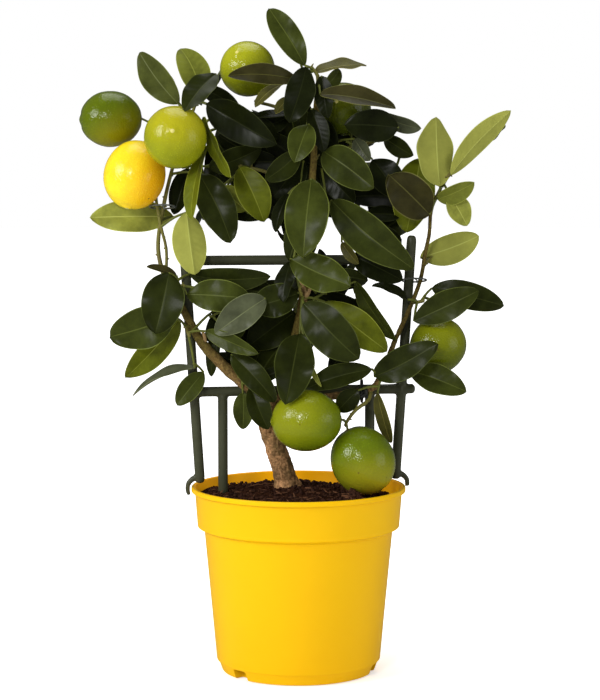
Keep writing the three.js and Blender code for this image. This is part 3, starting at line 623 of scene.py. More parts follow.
@dataclass(frozen=True)
class Peel(Finish):
    """Fruit peel: a clouded colour that turns to another on one side of the fruit, with dots; the turn is
    partly ripening and partly painted light and shade.

    Attributes:
        ripe_and_light: The colour of the turned side, from ripening and from painted light and shade.
        towards: The direction of the turned side from the fruit's middle.
        middle: The fruit's middle, in millimetres.
        reach: The fruit's radius, in millimetres.
        dot: The colour of the pale dots of oil in the peel.
    """

    ripe_and_light: Colour = (0.5, 0.4, 0.02)
    towards: Triple = (1.0, 0.0, 0.0)
    middle: Triple = (0.0, 0.0, 0.0)
    reach: float = 24.0
    dot: Colour = (0.5, 0.48, 0.1)

    TURN_SPAN = (-0.2, 1.05)
    DOTS = (520.0, 0.3, 0.3)
    SCAR = (0.10, 0.045, 0.01)
    SCARS = (62.0, 0.06, 0.75)

    def dotted(self, tree: NodeTree, under: NodeSocket, paint: Colour, dots: Triple) -> NodeSocket:
        """Adds small round dots to a colour.

        Args:
            tree: The material's nodes.
            under: The colour that lies under the dots.
            paint: The colour of the dots.
            dots: Their scale per metre, a dot's radius as a share of the space between two, and how
                strongly it covers what lies under it.

        Returns:
            The dotted colour.
        """
        scale, size, strength = dots
        cells = add_node(tree, "ShaderNodeTexVoronoi", {"Vector": object_place(tree), "Scale": scale})
        dot = ramp(tree, cells.outputs["Distance"], (size * 0.4, size), (strength, 0.0), smooth=True)
        return layered(tree, dot, under, (*paint, 1))

    def refine(self, tree: NodeTree, shader: Node, colour: NodeSocket) -> None:
        """Turns the colour towards one side, by ripening and by painted light and shade, and adds the dots
        and a few brown scars.

        Args:
            tree: The material's nodes.
            shader: Its shader.
            colour: The clouded colour.
        """
        feeds = {0: object_place(tree), 1: Vector(self.middle) * MM}
        offset = add_node(tree, "ShaderNodeVectorMath", feeds, operation="SUBTRACT").outputs["Vector"]
        feeds = {0: offset, 1: Vector(self.towards).normalized()}
        side = add_node(tree, "ShaderNodeVectorMath", feeds, operation="DOT_PRODUCT").outputs["Value"]
        # Painted light: the turned side is a painted lit side where it faces the lamps, a painted yellow
        # reflection where it faces the yellow fruit, and painted shade on the yellow fruit's far side, over
        # the peel's own ripening.
        start, end = (share * self.reach * MM for share in self.TURN_SPAN)
        turned = layered(tree, ramp(tree, side, (start, end), smooth=True), colour, (*self.ripe_and_light, 1))
        dots = self.dotted(tree, turned, self.dot, self.DOTS)
        feed(shader, {"Base Color": self.dotted(tree, dots, self.SCAR, self.SCARS)})


@dataclass(frozen=True)
class BarkFinish(Finish):
    """Bark: tan-brown and rough at the foot of the tree, greener and darker on its newer wood higher up,
    the darkening a painted shade under the crown.

    Attributes:
        young_wood_and_shade: The colour of newer wood, darkened with painted shade under the crown.
        turns: The heights where the bark starts to turn green and where it is all green.
        fleck: The dark colour of the fine flecks and cracks.
        fleck_scale: The scale of the flecks, per metre.
        fleck_amount: How strongly they show, from 0 to 1.
        furrow_scale: The scale of the fine furrows, per metre.
        furrow_depth: Their depth, in millimetres.
    """

    young_wood_and_shade: Colour = (0.13, 0.10, 0.021)
    turns: Pair = (175.0, 262.0)
    fleck: Colour = (0.045, 0.024, 0.009)
    fleck_scale: float = 520.0
    fleck_amount: float = 0.8
    furrow_scale: float = 700.0
    furrow_depth: float = 0.3

    def refine(self, tree: NodeTree, shader: Node, colour: NodeSocket) -> None:
        """Turns the bark green and darker with height, the darkening a painted shade under the crown, and
        flecks and roughens it with fine cracks.

        Args:
            tree: The material's nodes.
            shader: Its shader.
            colour: The clouded colour.
        """
        where = object_place(tree)
        high = add_node(tree, "ShaderNodeSeparateXYZ", {"Vector": where}).outputs["Z"]
        # Greener and darker upwards: newer wood, with painted shade under the crown.
        start, end = (height * MM for height in self.turns)
        green = layered(tree, ramp(tree, high, (start, end)), colour, (*self.young_wood_and_shade, 1))
        flecks = MottleGroup().placed(tree, {
            "Base": green, "Tint": (*self.fleck, 1), "Scale": self.fleck_scale,
            "Amount": self.fleck_amount,
        })
        feed(shader, {"Base Color": flecks["Color"]})
        drawn = add_node(tree, "ShaderNodeMapping", {"Vector": where, "Scale": (1.0, 1.0, 0.5)})
        furrows = add_node(tree, "ShaderNodeTexNoise", {
            "Vector": drawn.outputs["Vector"], "Scale": self.furrow_scale, "Detail": 6})
        self.bump(shader, furrows.outputs["Fac"], self.furrow_depth, 0.9)


POT_PLASTIC = Finish(
    "pot_plastic", (0.87, 0.50, 0.002), (0.84, 0.455, 0.002), amount=0.5, cloud=11, roughness=0.35,
    specular=0.1, pores=420, pit=0.02, glow=0.05,
)
# Painted light: the inner wall is the same plastic as the outside, and its deeper orange and weak glow
# paint the light shining through the wall.
POT_INSIDE = Finish(
    "pot_inside", (0.97, 0.44, 0.002), (0.94, 0.36, 0.002), amount=0.5, cloud=11, roughness=0.4,
    specular=0.1, pores=420, pit=0.02, glow=0.05, through=0.2,
)
SOIL_EARTH = Finish(
    "soil_earth", (0.012, 0.005, 0.0035), (0.055, 0.022, 0.011), amount=0.8, cloud=170, roughness=0.95,
    specular=0.0, pores=420, pit=0.7,
)
CRUMB_EARTH = Finish(
    "crumb_earth", (0.021, 0.009, 0.0065), (0.065, 0.028, 0.016), amount=0.8, cloud=90, roughness=0.95,
    specular=0.05,
)
CHIP_WOOD = Finish(
    "chip_wood", (0.16, 0.07, 0.034), (0.05, 0.022, 0.012), amount=0.8, cloud=120, roughness=0.85,
    specular=0.1,
)
BARK = BarkFinish(
    "bark_skin", (0.60, 0.32, 0.145), (0.16, 0.105, 0.04), amount=0.95, cloud=95, roughness=0.8,
    specular=0.08,
)
DRY_WOOD = Finish(
    "dry_wood", (0.38, 0.25, 0.11), (0.13, 0.075, 0.035), amount=0.8, cloud=220, roughness=0.85,
    specular=0.1,
)
TRELLIS_PLASTIC = Finish(
    "trellis_plastic", (0.046, 0.049, 0.026), (0.062, 0.066, 0.036), amount=0.5, cloud=90,
    roughness=0.36, specular=0.2, pores=900, pit=0.03,
)
WIRE_COAT = Finish(
    "wire_coat", (0.11, 0.12, 0.10), (0.05, 0.055, 0.045), amount=0.6, cloud=150, roughness=0.4,
)
TIE_COAT = Finish(
    "tie_coat", (0.010, 0.011, 0.010), (0.03, 0.03, 0.027), amount=0.5, cloud=150, roughness=0.6,
)
YOUNG_STEM = Finish(
    "young_stem", (0.16, 0.155, 0.03), (0.10, 0.07, 0.02), amount=0.7, cloud=90, roughness=0.45,
    specular=0.2,
)
LEAF_STALK = Finish(
    "leaf_stalk", (0.12, 0.135, 0.022), (0.06, 0.07, 0.013), amount=0.6, cloud=80, roughness=0.45,
    specular=0.15,
)
CALYX = Finish(
    "calyx", (0.085, 0.08, 0.018), (0.14, 0.09, 0.035), amount=0.7, cloud=240, roughness=0.7,
    specular=0.15,
)
# The blossom end's pale yellow is partly its own pale scar and partly a painted highlight.
NIPPLE_AND_HIGHLIGHT = Finish(
    "blossom_end_and_highlight", (0.62, 0.56, 0.16), (0.42, 0.38, 0.08), amount=0.7, cloud=300, roughness=0.4,
    specular=0.3,
)


class Tone(Enum):
    """The tones of leaf, each with its upper face and its underside: most are the leaves' own colours, and
    some paint light and shade.
    """

    # Painted shade: a near-black green for leaves in the crown's shadow.
    DEEP_SHADE = "deep"
    DARK = "dark"
    MID = "mid"
    FRESH = "fresh"
    LIME = "lime"
    PALE = "pale"
    # Partly the paler underside and partly painted light shining through the leaf.
    KHAKI = "khaki"
    BRONZE = "bronze"
    # Painted sheen: a grey-green that stands for the pale room mirrored in glossy leaves.
    SHEEN_GREY = "grey"
    SAGE = "sage"
    MOSS = "moss"


@dataclass(frozen=True)
class LeafFinish:
    """The finishes of one tone of leaf: upper face, underside, midrib and margin.

    The roughness is the upper face's, and the margin is paler than the midrib by its factor; that pale
    margin is partly the leaf's own paler edge and partly a painted rim highlight.
    """

    upper: Colour
    under: Colour
    rib: Colour
    roughness: float = 0.28
    margin: float = 1.6

    CLOUDED = 0.5
    CLOUDED_BELOW = 0.68

    def materials(self, tone: Tone) -> list[Material]:
        """Makes the materials of a leaf.

        Args:
            tone: The tone that names them.

        Returns:
            The materials of the upper face, the underside, the midrib and the margin.
        """
        darker = tuple(channel * self.CLOUDED for channel in self.upper)
        below = tuple(channel * self.CLOUDED_BELOW for channel in self.under)
        edge = tuple(channel * self.margin for channel in self.rib)
        looks = (
            ("upper", self.upper, darker, 0.85, 62, self.roughness, 0.075),
            ("under", self.under, below, 0.6, 60, 0.6, 0.05),
            ("rib", self.rib, self.rib, 0.6, 60, 0.4, 0.1),
            # Partly painted light: the pale margin, on the blade's thin edges too, is partly the leaf's own
            # paler edge and partly a painted rim highlight.
            ("margin", edge, edge, 0.6, 60, 0.5, 0.1),
        )
        return [Finish(f"leaf_{tone.value}_{part}", *look).material() for part, *look in looks]


LEAF_FINISHES = {
    # Painted shade: the deep tone's near-black green stands for the crown's shadow.
    Tone.DEEP_SHADE: LeafFinish((0.010, 0.013, 0.003), (0.04, 0.046, 0.012), (0.017, 0.021, 0.005)),
    Tone.DARK: LeafFinish((0.022, 0.028, 0.0045), (0.065, 0.072, 0.016), (0.036, 0.044, 0.008)),
    Tone.MID: LeafFinish((0.044, 0.055, 0.008), (0.10, 0.11, 0.022), (0.075, 0.09, 0.015)),
    Tone.FRESH: LeafFinish((0.17, 0.19, 0.025), (0.20, 0.21, 0.04), (0.23, 0.25, 0.04), 0.35, 1.2),
    Tone.LIME: LeafFinish((0.12, 0.14, 0.007), (0.18, 0.19, 0.025), (0.2, 0.22, 0.025), 0.35, 1.2),
    # The pale tone is partly the paler underside and partly painted light shining through thin leaves.
    Tone.PALE: LeafFinish((0.29, 0.31, 0.05), (0.30, 0.31, 0.06), (0.38, 0.40, 0.09), 0.4, 1.1),
    Tone.KHAKI: LeafFinish((0.085, 0.08, 0.017), (0.14, 0.13, 0.03), (0.2, 0.18, 0.04), 0.4, 1.1),
    Tone.BRONZE: LeafFinish((0.04, 0.036, 0.010), (0.08, 0.075, 0.02), (0.08, 0.078, 0.018), 0.35),
    # Painted sheen: the grey tone's bluish grey-green stands for the pale room mirrored in glossy leaves.
    Tone.SHEEN_GREY: LeafFinish((0.085, 0.095, 0.05), (0.14, 0.15, 0.07), (0.12, 0.135, 0.06), 0.25, 1.2),
    Tone.SAGE: LeafFinish((0.072, 0.084, 0.018), (0.13, 0.14, 0.04), (0.105, 0.12, 0.03), 0.25),
    Tone.MOSS: LeafFinish((0.031, 0.039, 0.006), (0.08, 0.09, 0.02), (0.055, 0.066, 0.012)),
}


# The pot and its soil

@dataclass
class Pot:
    """The round plastic pot with its stepped collar, lip, foot ring and notches."""

    rim: float = 85.0
    rim_top: float = 147.0
    rim_height: float = 4.0
    bead: float = 0.9
    collar_top: float = 82.2
    collar_foot: float = 80.2
    collar_base: float = 116.0
    shelf: float = 74.9
    shelf_base: float = 111.0
    wall_foot: float = 65.1
    corner_top: float = 9.0
    foot: float = 61.0
    wall: float = 1.6
    floor: float = 4.0
    centre_disc: float = 32.0
    ring_inside: float = 53.0
    recess: float = 1.5
    notch_wide: float = 14.0
    notch_high: float = 8.0
    notch_bearings: tuple[float, ...] = (-137.0, -17.0, 103.0)
    steps: int = 160

    def profile(self) -> list[Pair]:
        """Works out the section of the wall, from the foot round to the floor.

        Returns:
            The radius and height of each corner.
        """
        bead = self.bead
        lip = [
            (self.rim - bead + bead * math.cos(angle), self.rim_top - bead + bead * math.sin(angle))
            for angle in (0.0, 0.5, 1.05, 1.57)
        ]
        return [
            (0.0, 0.0), (self.centre_disc, 0.0), (self.centre_disc + 1.5, self.recess),
            (self.ring_inside - 1.5, self.recess), (self.ring_inside, 0.0), (self.foot - 1.5, 0.0),
            (self.foot - 0.4, 0.35), (self.foot + 0.1, 1.2), (self.foot + 0.9, 3.4),
            (self.foot + 1.9, 6.2), (self.wall_foot - 1.1, self.corner_top - 0.8),
            (self.wall_foot - 0.9, self.corner_top - 0.2), (self.wall_foot - 0.1, self.corner_top),
            (self.wall_foot + 0.1, self.corner_top + 0.5), (self.shelf - 0.1, self.shelf_base + 1.2),
            (self.shelf + 0.2, self.shelf_base + 2.0), (self.shelf + 0.9, self.shelf_base + 2.4),
            (self.collar_foot - 0.7, self.collar_base - 0.9),
            (self.collar_foot - 0.1, self.collar_base - 0.5), (self.collar_foot, self.collar_base + 0.4),
            (self.collar_top - 0.1, self.rim_top - self.rim_height - 1.2),
            (self.collar_top + 0.4, self.rim_top - self.rim_height - 0.3),
            (self.rim - 0.6, self.rim_top - self.rim_height),
            (self.rim, self.rim_top - self.rim_height + 0.6),
            *lip,
            (self.collar_top + 0.6, self.rim_top), (self.collar_top - 0.3, self.rim_top - 0.5),
            (self.collar_top - 0.8, self.rim_top - 2.0),
            (self.collar_foot - self.wall, self.collar_base + 1.2),
            (self.shelf - self.wall, self.shelf_base + self.wall),
            (self.wall_foot - self.wall, self.corner_top + self.wall),
            (self.foot - 1.0, self.floor + 2.2), (0.0, self.floor),
        ]

    def build(self) -> Object:
        """Turns the pot's section, and cuts the notches.

        Returns:
            The piece that stands for the pot's node.
        """
        bm = bmesh.new()
        verts = [bm.verts.new((radius, 0.0, high)) for radius, high in self.profile()]
        edges = [bm.edges.new(pair) for pair in zip(verts, verts[1:])]
        bmesh.ops.spin(
            bm, geom=verts + edges, cent=(0, 0, 0), axis=(0, 0, 1), dvec=(0, 0, 0),
            angle=2 * math.pi, steps=self.steps, use_merge=True, use_duplicate=False,
        )
        bmesh.ops.remove_doubles(bm, verts=bm.verts[:], dist=1e-4)
        bmesh.ops.recalc_face_normals(bm, faces=bm.faces[:])
        # Inner faces above the collar take the finish whose deeper orange and glow are painted light
        # through the wall.
        for face in bm.faces:
            middle = face.calc_center_median()
            if middle.z > self.collar_base and face.normal.xy.dot(middle.xy) < 0:
                face.material_index = 1
        materials = [POT_PLASTIC.material(), POT_INSIDE.material()]
        piece = new_piece(bm, "pot_shell", materials, ("pot",), sharp=38)
        self.cut_notches(piece)
        return piece

    def cut_notches(self, piece: Object) -> None:
        """Cuts the notches out of the pot's foot.

        Args:
            piece: The pot.
        """
        bm = bmesh.new()
        for bearing in self.notch_bearings:
            turned = Matrix.Rotation(math.radians(bearing), 4, "Z")
            shape = turned @ Matrix.Translation((self.foot + 2, 0, 0))
            sized = shape @ Matrix.Diagonal((20, self.notch_wide, 2 * self.notch_high, 1))
            bmesh.ops.create_cube(bm, size=1.0, matrix=sized)
        bmesh.ops.bevel(
            bm, geom=bm.edges[:], offset=1.2, affect="EDGES", segments=3, profile=0.5, material=-1)
        bmesh.ops.scale(bm, vec=(MM, MM, MM), verts=bm.verts[:])
        cutter = add_object("notches", as_mesh(bm, "notches"))
        cut = piece.modifiers.new("notches", "BOOLEAN")
        cut.operation = "DIFFERENCE"
        cut.solver = "EXACT"
        cut.object = cutter
        applied(piece)
        bpy.data.meshes.remove(cutter.data)


@dataclass
class Soil:
    """The crumbly top of the soil, laid over the frame's own soil, with loose crumbs on it."""

    reach: float = 79.4
    edge: float = 134.0
    heap: float = 6.5
    mound: tuple[Triple, ...] = (
        (0, 145.0, 145.0), (13, 145.0, 145.0), (28, 143.8, 143.8), (48, 140.5, 142.5), (68, 137.0, 141.5),
    )
    lift: float = 1.2
    rings: int = 70
    spokes: int = 150
    crumbs: int = 2400
    lump: Pair = (0.45, 1.9)
    chip_share: float = 0.2
    spill: tuple[float, float, float, float] = (42.5, -44.0, 7.5, 9.5)
    spill_crumbs: int = 700
    seed: int = 5

    def level(self, flat: Vector) -> float:
        """Works out the height of the mound, which is heaped up towards the front and the left.

        Args:
            flat: A place, as seen from above.

        Returns:
            The height of the mound there.
        """
        radius = flat.length
        heap = max(0.0, min(1.0, 0.5 - 0.5 * (flat.y + 0.8 * flat.x) / self.reach))
        edge = self.edge + self.heap * heap
        known = [(far, blend(flat_high, heaped_high, heap)) for far, flat_high, heaped_high in self.mound]
        known.append((self.reach, edge))
        for (near, high), (far, low) in zip(known, known[1:]):
            if radius <= far:
                return blend(high, low, (radius - near) / (far - near))
        return edge

    def rough(self, point: Vector) -> float:
        """Returns how far the crumbly surface stands above the mound at a point."""
        lumps = noise.fractal(point * 0.14, 0.8, 2.2, 5)
        return 2.1 * lumps + 1.3 * (0.5 - noise.voronoi(point * 0.4)[0][0])

    def build(self) -> list[Object]:
        """Lays the crumbly top over the frame's soil, with loose crumbs on it.

        Returns:
            The two pieces.
        """
        bm = bmesh.new()
        bmesh.ops.create_grid(bm, x_segments=self.spokes, y_segments=self.rings, size=1.0)
        for vert in bm.verts:
            angle = math.pi * (vert.co.x + 1)
            radius = self.reach * max((vert.co.y + 1) / 2, 1e-4)
            flat = Vector((radius * math.cos(angle), radius * math.sin(angle), 0.0))
            rise = self.lift + max(self.rough(flat), -self.lift * 0.6)
            vert.co = flat + Vector((0, 0, self.level(flat) + rise))
        bmesh.ops.remove_doubles(bm, verts=bm.verts[:], dist=0.02)
        skirt = [edge for edge in bm.edges if edge.is_boundary]
        grown = bmesh.ops.extrude_edge_only(bm, edges=skirt)["geom"]
        hem = [item for item in grown if isinstance(item, BMVert)]
        for vert in hem:
            vert.co.z = self.edge - 3.0
        bmesh.ops.edgeloop_fill(bm, edges=[edge for edge in bm.edges if edge.is_boundary])
        bmesh.ops.recalc_face_normals(bm, faces=bm.faces[:])
        top = new_piece(bm, "soil_top", [SOIL_EARTH.material()], sharp=80)
        return [top, self.build_crumbs()]

    def build_crumbs(self) -> Object:
        """Strews loose crumbs and chips on the soil, and spills some against the lowest fruit.

        Returns:
            The piece.
        """
        random = Dice(self.seed)
        noise.seed_set(self.seed)
        across, away, wide, high = self.spill
        bm = bmesh.new()
        for index in range(self.crumbs + self.spill_crumbs):
            spilt = index >= self.crumbs
            share = random() if spilt else math.sqrt(random())
            radius = wide * share if spilt else (self.reach - 3) * share
            angle = 2 * math.pi * random()
            size = blend(*self.lump, random() ** 2.5)
            at = Vector((radius * math.cos(angle), radius * math.sin(angle), 0.0))
            if spilt:
                at += Vector((across, away, 0.0))
            at.z = self.level(at) + self.lift + self.rough(at) + 0.35 * size
            if spilt:
                at.z += high * (1 - share ** 2) * random()
            chip = random() < self.chip_share
            if chip:
                turn = Quaternion((0, 0, 1), math.pi * random())
                turn.rotate(Quaternion((1, random(), 0), random() - 0.5))
                sides = (size * random.between(1.8, 4.2), size * 0.45, size * 0.35)
            else:
                turn = Quaternion([random() - 0.5 for _ in range(3)] + [random()]).normalized()
                sides = (size * random.between(0.6, 1.2), size, size * 0.75)
            shape = Matrix.LocRotScale(at, turn, sides)
            made = bmesh.ops.create_icosphere(bm, subdivisions=1, radius=1.0, matrix=shape)["verts"]
            for vert in made:
                vert.co += noise.noise_vector(vert.co * 0.9) * (0.35 * size)
            if chip:
                for face in {face for vert in made for face in vert.link_faces}:
                    face.material_index = 1
        materials = [CRUMB_EARTH.material(), CHIP_WOOD.material()]
        return new_piece(bm, "soil_crumbs", materials, sharp=80)


# The trellis and the ties

@dataclass
class Trellis:
    """The ladder of moulded plastic whose hooks hang over the pot's rim."""

    turn: float = 8.0
    centre_away: float = 5.0
    bar: float = 4.0
    top: float = 345.0
    foot: float = 150.0
    post_foot: float = 78.5
    post_top: float = 91.0
    low_bar: float = 222.5
    mid_bar: float = 326.0
    stub: float = 94.0
    leg_foot: float = 110.0
    legs: Pair = (-60.4, 57.4)
    hook: tuple[Triple, ...] = (
        (0, 155, 2.6), (5, 153.8, 2.4), (9.3, 149.6, 2.1), (9.9, 144, 1.9), (8.9, 140.5, 1.5),
    )
    short_hook: int = 4

    def at(self, side: float, high: float) -> Vector:
        """Returns a point in the ladder's upright plane, by its distance along and its height."""
        turn = math.radians(self.turn)
        return Vector((side * math.cos(turn), self.centre_away + side * math.sin(turn), high))

    def post_reach(self, high: float) -> float:
        """Returns how far out from the ladder's middle a post stands at a height."""
        return blend(self.post_foot, self.post_top, (high - self.foot) / (self.top - self.foot))

    def rod(self, bm: BMesh, start: Vector, end: Vector, flare: bool = False) -> None:
        """Adds a rod with rounded ends, or with ends that flare into what they join.

        Args:
            bm: The mesh that takes it.
            start: One end, in millimetres.
            end: The other end.
            flare: Whether the ends flare.
        """
        length = (end - start).length
        shares = [0.0, 1.2 / length, 4.5 / length, 9 / length]
        widths = [1.45, 1.22, 1.04, 1.0] if flare else [0.55, 0.86, 1.0, 1.0]
        shares += [1 - share for share in reversed(shares)]
        radii = tuple(self.bar * width for width in widths + widths[::-1])
        add_tube(bm, Route([start.lerp(end, share) for share in shares]), radii, 20, 2)

    def build(self) -> Object:
        """Joins the posts, bars, legs, stubs and hooks into one moulding.

        Returns:
            The piece that stands for the ladder's nodes.
        """
        bm = bmesh.new()
        for hand in (-1, 1):
            foot = self.at(hand * self.post_reach(self.foot), self.foot)
            self.rod(bm, foot, self.at(hand * self.post_reach(self.top), self.top))
            post = self.at(hand * self.post_reach(self.low_bar), self.low_bar)
            self.rod(bm, post, self.at(hand * self.stub, self.low_bar))
            out = Vector((foot.x, foot.y, 0)).normalized()
            hook = self.hook if hand < 0 else self.hook[:self.short_hook]
            path = [Vector((foot.x, foot.y, high)) + out * reach for reach, high, _ in hook]
            add_tube(bm, Route(path), tuple(radius for *_, radius in hook), 14, 6)
        for high in (self.low_bar, self.mid_bar):
            reach = self.post_reach(high) - 1
            self.rod(bm, self.at(-reach, high), self.at(reach, high), flare=True)
        for side in self.legs:
            self.rod(bm, self.at(side, self.leg_foot), self.at(side, self.low_bar))
        bmesh.ops.recalc_face_normals(bm, faces=bm.faces[:])
        nodes = ("post_left", "post_right", "bar_low", "bar_middle", "leg_left", "leg_right")
        piece = new_piece(bm, "trellis", [TRELLIS_PLASTIC.material()], nodes)
        moulded(piece, voxel=0.8, rounds=5)
        return piece


@dataclass
class Ties:
    """The two rings of coated wire and the soft black tie that hold the boughs to the ladder."""

    rings: tuple[tuple[str, Place, float, float], ...] = (
        ("ring_left", (-107, 368, 4.5), 9.9, 8.0), ("ring_right", (91, 310.3, -15.2), 9.8, 9.2),
    )
    tilt: float = -12.0
    wire: float = 0.7
    soft_centre: Place = (50, 222.6, -5)
    soft_reach: float = 13.2
    soft_high: float = 8.4
    soft_wire: float = 1.1

    def loop(self, centre: Vector, wide: Vector, deep: Vector, turns: int) -> Route:
        """Works out the closed line of a ring.

        Args:
            centre: The ring's middle, in millimetres.
            wide: The half-width of the ring, as a direction.
            deep: Its half-depth, as a direction.
            turns: How many points the line has.

        Returns:
            The line.
        """
        angles = [2 * math.pi * step / turns for step in range(turns + 1)]
        return Route([centre + wide * math.cos(angle) + deep * math.sin(angle) for angle in angles])

    def build(self) -> list[Object]:
        """Bends the two rings with their tails, and the soft tie with its knot.

        Returns:
            The pieces.
        """
        made = []
        tilt = math.radians(self.tilt)
        for name, centre, reach, deep in self.rings:
            bm = bmesh.new()
            middle = place(centre)
            back = Vector((0, math.cos(tilt), math.sin(tilt))) * deep
            add_tube(bm, self.loop(middle, Vector((reach, 0, 0)), back, 36), (self.wire,) * 37, 8, 2)
            start = middle - back
            tail = [start, start + Vector((1.6, -0.5, -1.4)), start + Vector((2.2, -0.2, -3.4))]
            add_tube(bm, Route(tail), (self.wire * 0.9,) * 3, 8, 3)
            bmesh.ops.recalc_face_normals(bm, faces=bm.faces[:])
            made.append(new_piece(bm, f"wire_{name}", [WIRE_COAT.material()], (name,)))
        bm = bmesh.new()
        middle = place(self.soft_centre)
        high = Vector((0, 0, self.soft_high))
        back = Vector((0, self.soft_reach, 0))
        add_tube(bm, self.loop(middle, high, back, 36), (self.soft_wire,) * 37, 10, 2)
        knot = middle - back * 0.98
        for wide, high in (((3.4, 0.4, 1.2), (0.4, 1.2, 3.0)), ((1.8, -0.6, 3.0), (-2.6, 0.9, 1.4))):
            loop = self.loop(knot + Vector((0, -1.2, 0)), Vector(wide), Vector(high), 12)
            add_tube(bm, loop, (self.soft_wire * 1.15,) * 13, 10, 2)
        for across, up, drop in ((-3.4, 3.6, -0.5), (4.2, 1.6, -6.5), (-2.4, -2.2, -5.4)):
            tail = [knot, knot + Vector((across * 0.6, -1.6, up)), knot + Vector((across, -0.6, drop))]
            add_tube(bm, Route(tail), (self.soft_wire, self.soft_wire, 0.8), 10, 4)
        bmesh.ops.recalc_face_normals(bm, faces=bm.faces[:])
        made.append(new_piece(bm, "soft_tie_knot", [TIE_COAT.material()], ("soft_tie",)))
        return made


# The limbs

class Limb(NamedTuple):
    """A limb of the tree: its places, and its radius at each."""

    places: tuple[Place, ...]
    radii: tuple[float, ...]

    def route(self) -> Route:
        """Returns the line through the limb's middle."""
        return Route([place(seen) for seen in self.places])

    def distance(self, point: Vector, checks: int = 8) -> float:
        """Works out how far a point lies outside the limb's bark.

        Args:
            point: The point, in millimetres.
            checks: How many places are tried between two points of the limb.

        Returns:
            The distance, in millimetres.
        """
        route = self.route()
        steps = route.spans * checks
        return min(
            (route.at(step / steps) - point).length - route.radius(self.radii, step / steps)
            for step in range(steps + 1)
        )


LIMBS = {
    "trunk": Limb(
        (
            (-8, 145.6, -2), (-10.5, 153, -1), (-17.5, 176, 3), (-24, 199, 6), (-20.5, 208, 8),
            (-12, 218, 8), (-6.5, 246, 8), (3.5, 293, 8), (7.5, 340, 8), (11.5, 399, 8), (14, 448, 8),
            (15, 461, 8),
        ),
        (10.6, 8.9, 8.2, 7.6, 6.6, 4.6, 4.2, 3.8, 3.3, 2.8, 2.3, 2.0),
    ),
    "left": Limb(
        (
            (-24, 206, 7), (-34, 221, 9), (-50, 234, 11), (-74, 258, 14.5), (-86, 277.6, 16.5),
            (-98, 301, 13), (-105.5, 312, 9),
        ),
        (5.2, 4.9, 4.6, 4.0, 3.3, 2.7, 2.6),
    ),
    "right": Limb(
        ((-18, 209, 8), (2, 214, 7), (34, 219.5, 4), (57, 223.5, 3.5)),
        (3.6, 3.3, 3.0, 2.8),
    ),
    "right_upper": Limb(
        (
            (60, 226, 3.5), (68.7, 242, 1), (76.6, 263.4, -3), (89, 291, -7), (96.4, 312, -12),
            (99.6, 331, -12), (102.8, 346.6, -10), (104.4, 366, -8), (112, 383.5, -8),
        ),
        (2.8, 2.6, 2.5, 2.4, 2.3, 2.2, 2.1, 2.0, 1.9),
    ),
}


